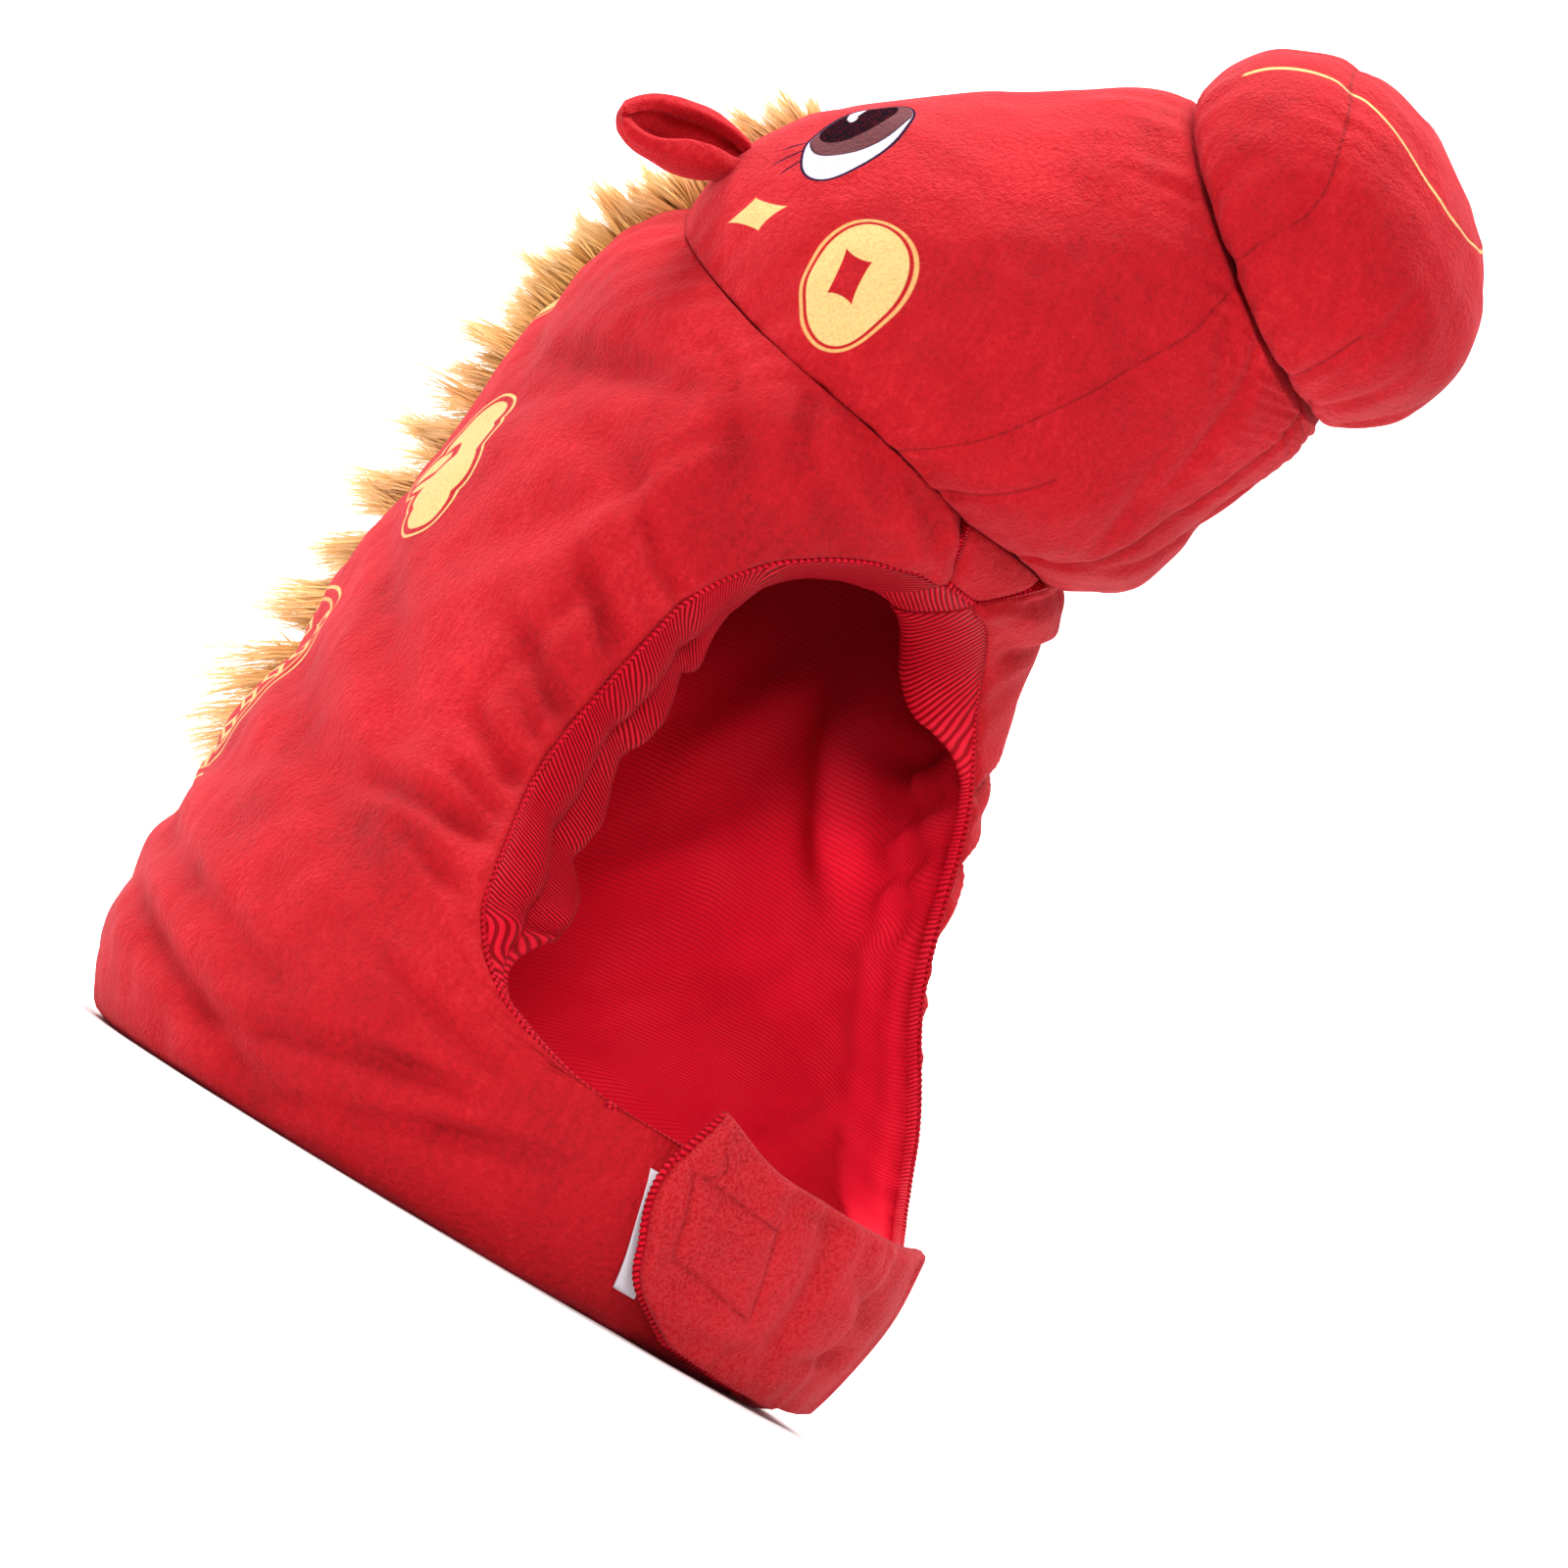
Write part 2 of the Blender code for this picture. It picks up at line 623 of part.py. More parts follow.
def add_tab_parts():
    """The hook-and-loop patch and the label, thin four-sided pieces on the right-hand band."""
    up, along = np.meshgrid(np.linspace(0, 1, 4), np.linspace(0, 1, 5), indexing="ij")
    pieces = (
        ("hook_patch", PATCH_CORNERS, PATCH_THICKNESS, HOOK_TAPE),
        ("care_label", LABEL_CORNERS, LABEL_THICKNESS, SATIN),
    )
    for name, corners, thickness, finish in pieces:
        far_low, far_high, near_low, near_high = np.array(corners)
        far_side = far_low + up[..., None] * (far_high - far_low)
        near_side = near_low + up[..., None] * (near_high - near_low)
        spot = far_side + along[..., None] * (near_side - far_side)
        faces = band_patch(spot[..., 0], spot[..., 1], GAP, GAP + thickness)
        add_shell(name, *faces, finish)


def main():
    for old in list(bpy.data.objects):
        bpy.data.objects.remove(old, do_unlink=True)
    add_panel("hood_right", -1, -BAND_END)
    add_panel("hood_left", 1, BAND_END)
    add_gusset()
    add_lining()
    add_head()
    add_muzzle()
    add_ears()
    add_mane()
    add_chin_tab()
    add_tab_parts()


main()
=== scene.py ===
"""Looks of the horse costume hat: padded plush halves, lining, stuffed head, ears, mane and chin tab.

Every piece is worked out from the same sections as the CAD solids, on a finer grid with folds, puckers
and seams. Lengths are metres. A point is (x, forward, z) with forward = -Y until turned() is called.
A comment above each table names its columns. The way of a fold or a motif is in degrees.
"""

from math import atan2, cos, degrees, hypot, pi, radians, sin

import bpy
import numpy as np
from mathutils import Matrix

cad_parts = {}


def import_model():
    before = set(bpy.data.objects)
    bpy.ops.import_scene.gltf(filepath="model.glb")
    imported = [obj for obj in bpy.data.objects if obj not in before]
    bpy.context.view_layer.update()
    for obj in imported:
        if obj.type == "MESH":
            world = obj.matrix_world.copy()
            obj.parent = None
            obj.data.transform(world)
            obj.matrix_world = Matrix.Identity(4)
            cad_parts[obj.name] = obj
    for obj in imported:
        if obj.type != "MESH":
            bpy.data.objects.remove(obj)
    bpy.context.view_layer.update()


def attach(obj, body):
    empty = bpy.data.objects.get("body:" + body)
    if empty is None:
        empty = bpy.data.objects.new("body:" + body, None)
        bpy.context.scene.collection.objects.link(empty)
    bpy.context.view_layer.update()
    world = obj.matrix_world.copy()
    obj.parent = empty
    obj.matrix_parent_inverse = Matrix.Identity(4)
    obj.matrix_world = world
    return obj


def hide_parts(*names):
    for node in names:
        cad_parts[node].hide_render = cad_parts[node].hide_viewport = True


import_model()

# Driving sizes, the same as in part.py
WALL = 0.013
LINING_DEPTH = WALL + 0.0007
LINING_EDGE = 0.001
GAP = 0.0004
SEAM_GAP = 0.0001
PINCH = 0.003
HEAD_TURN = radians(22)
TURN_FROM = 0.200
TURN_TO = 0.320
ORIGIN_SIDE = -0.0002
ORIGIN_FORWARD = -0.0170

# height, back, widest, half_width, front, back_power, front_power
SECTIONS = (
    (0.000, -0.118, 0.018, 0.113, 0.134, 1.8, 2.2),
    (0.012, -0.130, 0.020, 0.118, 0.139, 1.8, 2.2),
    (0.028, -0.139, 0.020, 0.122, 0.143, 1.8, 2.2),
    (0.058, -0.141, 0.021, 0.123, 0.146, 1.8, 2.2),
    (0.090, -0.137, 0.023, 0.120, 0.133, 1.8, 2.3),
    (0.133, -0.138, 0.026, 0.109, 0.086, 1.8, 2.4),
    (0.184, -0.134, 0.022, 0.101, 0.069, 1.8, 2.4),
    (0.222, -0.124, 0.022, 0.095, 0.061, 1.8, 2.2),
    (0.249, -0.117, 0.018, 0.089, 0.074, 1.8, 2.0),
    (0.285, -0.098, 0.012, 0.084, 0.085, 1.8, 2.0),
    (0.320, -0.074, 0.008, 0.077, 0.080, 1.8, 2.0),
)
# half_width, height
OPENING = (
    (0.0450, 0.0563),
    (0.0780, 0.0578),
    (0.0990, 0.0670),
    (0.1070, 0.0810),
    (0.1070, 0.0975),
    (0.0990, 0.1250),
    (0.0900, 0.1530),
    (0.0800, 0.1833),
    (0.0720, 0.1992),
    (0.0520, 0.2220),
    (0.0300, 0.2360),
    (0.0090, 0.2420),
)
BROW_ROWS = ((0.018, 0.2510), (0.027, 0.2590))
BAND_HEIGHTS = (0.0, 0.014, 0.028, 0.042, 0.0555)
BAND_BACK = 0.92
BAND_END = 0.0355
SEAM_BACK = 0.318
SEAM_DIP = 0.005
PANEL_COLUMNS = 14
GUSSET_COLUMNS = 4

# top_forward, top_height, bottom_forward, bottom_height, half_width, power
HEAD = (
    (-0.066, 0.334, 0.100, 0.272, 0.086, 2.1),
    (-0.052, 0.355, 0.110, 0.297, 0.081, 2.1),
    (-0.021, 0.376, 0.117, 0.318, 0.072, 2.1),
    (0.012, 0.394, 0.123, 0.331, 0.063, 2.1),
    (0.046, 0.411, 0.127, 0.3405, 0.055, 2.0),
)
# distance along the axis, share of the head's last ring
MUZZLE = (
    (0.0004, 0.94),
    (0.0050, 1.02),
    (0.0160, 1.08),
    (0.0310, 1.07),
    (0.0460, 0.95),
    (0.0570, 0.73),
    (0.0640, 0.40),
)
MUZZLE_TIP = 0.067
MUZZLE_PITCH = radians(45)
CEILING_HEIGHT = 0.318
CEILING_FORWARD = -0.005
DOME_STEPS = (0.22, 0.48, 0.76)

# distance along the axis, half_width
EAR = ((0.000, 0.0135), (0.010, 0.0160), (0.022, 0.0155), (0.033, 0.0115), (0.040, 0.0045))
EAR_THICKNESS = 0.0050
EAR_BASE = (0.0539, -0.0606, 0.3228)
EAR_AXIS = (0.90, -0.42, -0.20)

MANE_SHARE = 0.74
MANE_HALF_WIDTH = 0.011
MANE_FOOT = 0.022
# share of the way down, share of the full length
MANE_LENGTHS = (
    (0.00, 0.50),
    (0.10, 0.55),
    (0.25, 0.65),
    (0.40, 0.95),
    (0.55, 1.25),
    (0.75, 1.35),
    (0.85, 0.80),
    (1.00, 0.40),
)

TAB_FAR_END = 0.078
TAB_LIFT = 0.0032
TAB_THICKNESS = 0.0070
TAB_STEP = 0.008
# share of the way up, x
TAB_END = ((0.0, -0.014), (0.12, -0.031), (0.35, -0.0425), (0.6, -0.049), (1.0, -0.041))
# share of the way to the near end, lower edge, upper edge
TAB_EDGES = (
    (0.00, 0.0080, 0.0660),
    (0.30, 0.0060, 0.0630),
    (0.60, 0.0060, 0.0625),
    (0.85, 0.0070, 0.0640),
    (1.00, 0.0080, 0.0700),
)
PATCH_CORNERS = ((0.012, 0.012), (0.001, 0.036), (-0.027, 0.026), (-0.038, 0.051))
PATCH_THICKNESS = 0.0018
LABEL_CORNERS = ((-0.029, 0.012), (-0.0415, 0.047), (-0.037, 0.012), (-0.0515, 0.047))
LABEL_THICKNESS = 0.0008

# Folds pressed into the plush, the same as in part.py
FOLD_RADIUS = 0.115
# height, section angle, way, half_length, half_width, depth
FOLDS = (
    (0.045, 0.75, 28, 0.055, 0.012, 0.0035),
    (0.086, 0.95, 20, 0.060, 0.013, 0.0035),
    (0.125, 0.60, 38, 0.050, 0.012, 0.0030),
    (0.165, 1.75, 62, 0.045, 0.011, 0.0030),
    (0.205, 1.50, 48, 0.050, 0.012, 0.0035),
    (0.245, 1.15, 35, 0.050, 0.012, 0.0030),
    (0.110, 1.95, 75, 0.040, 0.011, 0.0025),
)

# Finer creases in the plush of the scene alone, from one end to the other
# height 1, section angle 1, height 2, section angle 2, half_width, depth
CREASES = (
    (0.211, 1.93, 0.196, 2.32, 0.0042, 0.0030),
    (0.190, 1.74, 0.173, 2.22, 0.0052, 0.0040),
    (0.181, 1.98, 0.162, 2.24, 0.0036, 0.0024),
    (0.164, 1.60, 0.149, 2.10, 0.0056, 0.0040),
    (0.148, 1.82, 0.137, 2.08, 0.0036, 0.0024),
    (0.134, 1.68, 0.125, 2.05, 0.0048, 0.0036),
    (0.118, 1.76, 0.113, 2.02, 0.0036, 0.0022),
    (0.105, 1.55, 0.106, 1.98, 0.0052, 0.0036),
    (0.096, 1.70, 0.088, 1.98, 0.0042, 0.0024),
    (0.126, 0.85, 0.086, 1.64, 0.0120, 0.0036),
    (0.156, 1.10, 0.118, 1.50, 0.0090, 0.0024),
    (0.070, 0.60, 0.050, 1.20, 0.0090, 0.0026),
    (0.038, 1.02, 0.012, 1.66, 0.0064, 0.0042),
    (0.052, 1.20, 0.040, 1.66, 0.0050, 0.0022),
    (0.022, 1.62, 0.037, 2.14, 0.0042, 0.0030),
    (0.010, 1.86, 0.027, 2.34, 0.0036, 0.0024),
    (0.035, 1.92, 0.039, 2.24, 0.0032, 0.0022),
    (0.025, 2.22, 0.034, 2.52, 0.0036, 0.0024),
    (0.058, 1.96, 0.049, 2.30, 0.0040, 0.0020),
    (0.228, 1.30, 0.214, 1.80, 0.0080, 0.0026),
    (0.246, 0.95, 0.252, 1.50, 0.0070, 0.0022),
    (0.262, 1.50, 0.238, 2.00, 0.0052, 0.0028),
    (0.270, 1.86, 0.246, 2.20, 0.0042, 0.0024),
    (0.248, 2.25, 0.236, 2.62, 0.0040, 0.0022),
    (0.264, 2.45, 0.252, 2.80, 0.0036, 0.0020),
    (0.200, 0.40, 0.170, 0.90, 0.0080, 0.0020),
    (0.270, 0.35, 0.240, 0.80, 0.0070, 0.0020),
    (0.110, 0.20, 0.085, 0.70, 0.0070, 0.0020),
)
# The plush's colour takes its painted shade from the crease depth, in full at this depth
CREASE_SHADE_FULL = 0.0030  # a crease of this depth has its full tone

# Finer grids
ROW_STEPS = 6
COLUMN_STEPS = 12
GUSSET_STEPS = 8
HEAD_ROWS = 96
MUZZLE_STEPS = 13
LINING_SKIP = 2  # the lining's grid has half the columns of the plush
ROLL_STEPS = 26

# Colours, as linear red, green and blue
# Pile tones of the plush; the crease value pushes it to the deep tone as painted shade and to the
# light tone as painted highlight
PLUSH_DEEP = (0.27, 0.0015, 0.0048)
PLUSH_RED = (0.43, 0.0030, 0.0085)
PLUSH_LIGHT = (0.58, 0.0155, 0.0245)
PLUSH_SHEEN = (1.0, 0.15, 0.19)
TAB_LIGHT = (0.56, 0.0340, 0.0400)
# The lining's red, a painted highlight for rib crests, and a painted shade for grooves, rolls, dips
# and the dome
LINING_RED = (0.86, 0.0100, 0.0330)
LINING_HIGHLIGHT = (0.96, 0.0300, 0.0560)
LINING_SHADE = (0.125, 0.0006, 0.0018)
LINING_SHINE = (1.0, 0.12, 0.14)
PRINT_YELLOW = (0.72, 0.49, 0.185)
PRINT_ORANGE = (0.74, 0.38, 0.13)
EYE_WHITE = (0.62, 0.58, 0.74)
EYE_NAVY = (0.009, 0.008, 0.024)
EYE_BROWN = (0.078, 0.026, 0.030)
EYE_BLACK = (0.006, 0.005, 0.008)
STITCH_AND_SEAM_SHADE = (0.16, 0.0020, 0.0040)
FUR_DEEP = (0.60, 0.285, 0.078)
FUR_GOLD = (0.90, 0.545, 0.200)
FUR_CREAM = (0.97, 0.795, 0.485)
TAPE_DARK = (0.22, 0.003, 0.006)
TAPE_RED = (0.45, 0.010, 0.020)
LABEL_GREY = (0.62, 0.62, 0.70)
LABEL_WHITE = (0.86, 0.86, 0.90)
FLOOR_WHITE = (0.93, 0.93, 0.93)
FLOOR_GREY = (0.90, 0.90, 0.90)

# Camera: the photograph's angle, with the hat standing on its hem
CAMERA_AZIMUTH = radians(-45)
CAMERA_ELEVATION = radians(-2.5)
CAMERA_ROLL = radians(30.67)
CAMERA_TARGET = (0.0269, -0.0437, 0.168)
CAMERA_DISTANCE = 2.5
VIEW_WIDTH = 0.48
SENSOR = 36.0

# Lights, aimed at a point over the floor
WORLD_LIGHT = 0.36
LIGHT_TARGET = np.array((0.0, 0.0, 0.2))
# name, azimuth, elevation, distance, size, watts
LIGHTS = (
    ("key", -148, 50, 2.2, 0.9, 40.0),
    ("front", -47, 31, 2.6, 0.8, 41.0),
    ("top", 20, 75, 2.4, 1.4, 12.0),
)
# distance behind, height, distance behind of its target, height of its target, size, watts
BACKDROP_LIGHT = (0.8, 2.4, 2.6, 0.6, 2.4, 150.0)

FAR = 0.05  # a distance from a seam at which nothing of it is drawn
SIDEWAYS = np.array((1.0, 0.0, 0.0))
DOWN = np.array((0.0, 0.0, -1.0))
MIRROR = np.array((-1.0, 1.0, 1.0))


def read(table, at):
    """Every column of a table at the given values of its first column, as one smooth curve."""
    rows = np.array(table)
    known = rows[:, 0]
    slopes = np.gradient(rows, known, axis=0)
    at = np.clip(np.asarray(at, float), known[0], known[-1])
    i = np.clip(np.searchsorted(known, at) - 1, 0, len(known) - 2)
    width = (known[i + 1] - known[i])[..., None]
    t = (at - known[i])[..., None] / width
    start = (1 + 2 * t) * (1 - t) ** 2 * rows[i] + t * (1 - t) ** 2 * width * slopes[i]
    end = t * t * (3 - 2 * t) * rows[i + 1] + t * t * (t - 1) * width * slopes[i + 1]
    return start + end


def between(rows, steps):
    """Rows of a table with the given number of smooth steps between each pair."""
    rows = np.array(rows, float)
    numbered = np.column_stack((np.arange(len(rows)), rows))
    at = np.linspace(0, len(rows) - 1, (len(rows) - 1) * steps + 1)
    return read(numbered, at)[:, 1:]


def finer(grid, row_steps, column_steps):
    """A coarse grid of numbers with smooth steps both ways."""
    return between(between(grid, row_steps).T, column_steps).T


def smooth(value, low, high):
    """0 below low, 1 above high and a smooth rise between."""
    share = np.clip((np.asarray(value, float) - low) / (high - low), 0, 1)
    return share * share * (3 - 2 * share)


def bell(distance, reach, power=2.0):
    """1 at no distance, fading out past the reach."""
    return np.exp(-((np.abs(distance) / reach) ** power))


def unit(vectors):
    """Vectors of length 1."""
    return vectors / np.maximum(np.linalg.norm(vectors, axis=-1, keepdims=True), 1e-12)


def less(vectors, way):
    """Vectors without their part along a way."""
    return vectors - np.sum(vectors * way, axis=-1, keepdims=True) * way


def turned_axes(first, second, way):
    """Two coordinates in axes turned by an angle in degrees, as numbers or as a material's values."""
    across, up = cos(radians(way)), sin(radians(way))
    return first * across + second * up, second * across - first * up


def lengths_along(points, axis):
    """Distance of every grid point from the first one of its row or column, along the cloth."""
    steps = np.linalg.norm(np.diff(points, axis=axis), axis=-1)
    first = np.zeros_like(np.take(steps, [0], axis=axis))
    return np.concatenate((first, np.cumsum(steps, axis=axis)), axis=axis)


# The hood's sections

EVEN_SAMPLES = 200
# Steps over which the outer face's directions are measured
HEIGHT_STEP = 0.004
ANGLE_STEP = 0.01
HOOD_MIDDLE = 0.01  # how far forward the middle of the sections lies


def oval(angle, power):
    """Side and length of a rounded outline at an angle from its back."""
    side = np.sign(np.sin(angle)) * np.abs(np.sin(angle)) ** (2 / power)
    length = -np.sign(np.cos(angle)) * np.abs(np.cos(angle)) ** (2 / power)
    return side, length


def section_point(height, angle):
    """A point of the hood's outer face; angle 0 is the back, pi/2 the right side, pi the front."""
    columns = np.moveaxis(read(SECTIONS, height), -1, 0)
    _, back, widest, half_width, front, back_power, front_power = columns
    behind = np.cos(angle) > 0
    side, length = oval(angle, np.where(behind, back_power, front_power))
    reach = np.where(behind, widest - back, front - widest)
    return np.stack((-half_width * side, widest + reach * length, height + 0 * side), axis=-1)


def angle_at(height, half_width):
    """Section angle in front at which the outer face has a half width."""
    row = read(SECTIONS, height)
    share = abs(half_width) / row[3]
    return pi - np.sign(half_width) * np.arcsin(share ** (row[6] / 2))


def even_angles(height, last_angle, columns):
    """Section angles from the back to the last one, evenly spaced along the cloth."""
    fine = np.linspace(0, last_angle, EVEN_SAMPLES)
    lengths = lengths_along(section_point(np.full(EVEN_SAMPLES, height), fine), 0)
    return np.interp(np.linspace(0, lengths[-1], columns), lengths, fine)


def front_edge(band_end):
    """Half widths and heights along a panel's front edge, from the hem to the head seam."""
    band = [(band_end, height) for height in BAND_HEIGHTS]
    middle = ((band_end + OPENING[0][0]) / 2, (BAND_HEIGHTS[-1] + OPENING[0][1]) / 2)
    return band + [middle] + list(between(OPENING, 2)[:-1]) + [OPENING[-1]] + list(BROW_ROWS)


def side_panel(band_end):
    """Heights and section angles of the wearer's right panel on a fine grid."""
    edge = front_edge(band_end)
    band = np.array(BAND_HEIGHTS) * BAND_BACK
    above = np.linspace(band[-1], SEAM_BACK, len(edge) - len(band) + 1)[1:]
    share = np.linspace(0, 1, PANEL_COLUMNS)
    heights, angles = [], []
    for (half_width, height), back in zip(edge, np.concatenate((band, above))):
        angles.append(even_angles(height, angle_at(height, half_width), PANEL_COLUMNS))
        dip = SEAM_DIP * max(0.0, back / SEAM_BACK) ** 4 * np.sin(pi * share)
        heights.append(back + (height - back) * share - dip)
    return tuple(finer(np.array(grid), ROW_STEPS, COLUMN_STEPS) for grid in (heights, angles))


def gusset():
    """Heights and section angles of the brow gusset on a fine grid."""
    heights, angles = [], []
    for half_width, height in [OPENING[-1]] + list(BROW_ROWS):
        first = angle_at(height, half_width)
        angles.append(np.linspace(first, 2 * pi - first, GUSSET_COLUMNS + 1))
        heights.append(np.full(GUSSET_COLUMNS + 1, height))
    return tuple(finer(np.array(grid), ROW_STEPS, GUSSET_STEPS) for grid in (heights, angles))


def hood_face(heights, angles):
    """Points of the hood's outer face and their outward directions."""
    points = section_point(heights, angles)
    ahead = section_point(heights, angles + ANGLE_STEP)
    along = ahead - section_point(heights, angles - ANGLE_STEP)
    above = section_point(heights + HEIGHT_STEP, angles)
    up = above - section_point(heights - HEIGHT_STEP, angles)
    normals = unit(np.cross(along, up))
    centre = np.stack((0 * heights, 0 * heights + HOOD_MIDDLE, heights), axis=-1)
    return points, normals * np.sign(np.sum(normals * (points - centre), axis=-1, keepdims=True))


def turned(points):
    """Points of the straight hood after the twist of the neck, in the object's own axes."""
    x, forward, z = np.moveaxis(np.asarray(points, float), -1, 0)
    angle = HEAD_TURN * smooth(z, TURN_FROM, TURN_TO)
    side = x * np.cos(angle) + forward * np.sin(angle)
    ahead = forward * np.cos(angle) - x * np.sin(angle)
    return np.stack((side - ORIGIN_SIDE, ORIGIN_FORWARD - ahead, z), axis=-1)


# Unevenness, folds and seams

LUMP_SPREAD = (1.4, 2.8)  # shortest and longest wave, in sizes of a lump
PUCKER_WAVES = ((1.0, 0.5), (1.37, 0.3), (2.3, 0.4))  # stretch of the pitch, share
# A crease is whole up to a share of its length from its middle, then fades over another
CREASE_WHOLE = 0.35
CREASE_FADE = 0.30
CREASE_SHOULDER = 0.75
CREASE_SPREAD = 1.4
ROUND_SHARE = 0.98  # of a full round, so that its edge isn't square to the face


def lumps(points, size, seed, waves=14):
    """Smooth seeded unevenness of about -1 to 1, in lumps of the given size."""
    draw = np.random.default_rng(seed)
    ways = unit(draw.normal(size=(waves, 3)))
    pace = 2 * pi / (size * draw.uniform(*LUMP_SPREAD, waves))
    shift = draw.uniform(0, 2 * pi, waves)
    total = np.zeros(points.shape[:-1])
    for way, quick, start in zip(ways, pace, shift):
        total += np.sin(points @ way * quick + start)
    return total / np.sqrt(waves)


def unevenness(points, rows, shift=0):
    """Lumps of several sizes, from a table."""
    return sum(height * lumps(points, size, seed + shift) for height, size, seed in rows)


def puckers(along, distance, pitch, reach, seed):
    """Small gathers across a seam: along it, and fading with the distance from it."""
    starts = np.random.default_rng(seed).uniform(0, 6, len(PUCKER_WAVES))
    wander = sum(
        np.sin(along * 2 * pi / (pitch * stretch) + start) * share
        for (stretch, share), start in zip(PUCKER_WAVES, starts)
    )
    return wander * np.exp(-distance / reach)


def gathers(off, rows, shift=0):
    """Puckers along seams, from a table of named distances; they start clear of the seam."""
    total = 0.0
    for height, along, seam, pitch, reach, seed, clear in rows:
        distance = np.abs(off[seam])
        grown = smooth(distance, 0.0, clear) if clear else 1.0
        total = total + height * puckers(off[along], distance, pitch, reach, seed + shift) * grown
    return total


def ridges(off, rows):
    """Ridges along seams, or dips where the height is below 0, from a table of named distances."""
    return sum(height * bell(off[seam] - at, reach, power) for height, seam, at, reach, power in rows)


def fold_depth(table, up, angle, radius=FOLD_RADIUS, length=1.0, shoulder=0.0):
    """How deep soft folds are pressed in; shoulder is how far their sides are raised."""
    depth = np.zeros(np.shape(up))
    for at, turn, way, half_length, half_width, deepest in table:
        ahead, aside = turned_axes((angle - turn) * radius, (up - at) * length, way)
        form = bell(ahead, half_length) * bell(aside, half_width)
        depth += deepest * (1 - shoulder * (aside / half_width) ** 2) * form
    return depth


def beside_line(across, up, ends):
    """Distance from a line between two points, the share of the way along it, and its length."""
    (u1, v1), (u2, v2) = ends
    length = hypot(u2 - u1, v2 - v1)
    way = ((u2 - u1) / length, (v2 - v1) / length)
    along = (across - u1) * way[0] + (up - v1) * way[1]
    return (up - v1) * way[0] - (across - u1) * way[1], along / length, length


def crease_depth(across, up, creases, radius=1.0):
    """Creases with raised shoulders, fading out past both ends, on any flat pair of axes."""
    depth = np.zeros(np.shape(up))
    for up_1, across_1, up_2, across_2, half_width, deepest in creases:
        ends = ((across_1 * radius, up_1), (across_2 * radius, up_2))
        aside, along, _ = beside_line(across, up, ends)
        past = np.maximum(np.abs(along - 0.5) - CREASE_WHOLE, 0.0) / CREASE_FADE
        off = (aside / half_width) ** 2
        across_it = (1 - CREASE_SHOULDER * off) * np.exp(-off / CREASE_SPREAD)
        depth += deepest * across_it * np.exp(-(past**2))
    return depth


def off_lines(across, up, lines, scale=None):
    """Distance from the nearest of some lines; past an end, its share of a length or of the scale."""
    nearest = 1.0
    for ends in lines:
        aside, share, length = beside_line(across, up, ends)
        past = np.maximum(np.abs(share - 0.5) - 0.5, 0.0) * (scale or length)
        nearest = np.minimum(nearest, np.hypot(aside, past))
    return nearest


def clear_of(off, rows):
    """0 on the named edges and 1 clear of them, from a table of distances."""
    clear = 1.0
    for edge, distance in rows:
        clear = clear * smooth(off[edge], 0.0, distance)
    return clear


def roll_in(distance, radius, depth=1.0):
    """How far a padded edge is rounded in at a distance from it, as a share of the full round."""
    share = np.clip(1 - distance / radius, 0, 1)
    return radius * (1 - np.sqrt(1 - share**2 * ROUND_SHARE)) * depth


# Meshes and what they say to the frame


def grid_faces(rows, columns, closed=False, first=0, flip=False):
    """Quads of a grid of points."""
    across = np.arange(columns if closed else columns - 1)
    row, column = np.meshgrid(np.arange(rows - 1), across, indexing="ij")
    a, b = row * columns + column, row * columns + (column + 1) % columns
    quads = np.stack((a, b, b + columns, a + columns), axis=-1).reshape(-1, 4) + first
    return quads[:, ::-1] if flip else quads


def make(name, points, faces, finish, cloth=None, seams=None, straight=True):
    """A mesh object with a material, and where each point is on its cloth, for the prints."""
    points = turned(points) if straight else points
    mesh = bpy.data.meshes.new(name)
    mesh.from_pydata(points.reshape(-1, 3).tolist(), [], [list(map(int, face)) for face in faces])
    mesh.update()
    for label, values in (("cloth", cloth), ("seams", seams)):
        if values is not None:
            layer = mesh.attributes.new(label, "FLOAT_VECTOR", "POINT")
            layer.data.foreach_set("vector", np.asarray(values, np.float32).ravel())
    mesh.shade_smooth()
    mesh.materials.append(finish)
    made = bpy.data.objects.new(name, mesh)
    bpy.context.scene.collection.objects.link(made)
    return made


def facing_out(made):
    """Turns all faces of a closed mesh outwards."""
    mesh = made.data
    spots = np.empty(len(mesh.vertices) * 3)
    mesh.vertices.foreach_get("co", spots)
    spots = spots.reshape(-1, 3) - spots.reshape(-1, 3).mean(axis=0)
    mesh.calc_loop_triangles()
    corners = np.empty(len(mesh.loop_triangles) * 3, np.int32)
    mesh.loop_triangles.foreach_get("vertices", corners)
    a, b, c = (spots[corners.reshape(-1, 3)[:, i]] for i in range(3))
    if np.sum(a * np.cross(b, c)) < 0:
        mesh.flip_normals()
    return made


def tube(name, grid, ends, finish, cloth, seams=None, cloth_ends=np.zeros((2, 3))):
    """A closed piece from rings of points, with a fan to one more point at each end."""
    rows, columns = grid.shape[:2]
    count = rows * columns
    faces = list(grid_faces(rows, columns, closed=True))
    for i in range(columns):
        beside = (i + 1) % columns
        faces.append((beside, i, count))
        faces.append((count - columns + i, count - columns + beside, count + 1))
    points = np.concatenate((grid.reshape(-1, 3), ends))
    cloth = np.concatenate((cloth.reshape(-1, 3), cloth_ends))
    if seams is not None:
        seams = np.concatenate((seams.reshape(-1, 3), np.full((2, 3), FAR)))
    return facing_out(make(name, points, faces, finish, cloth, seams))


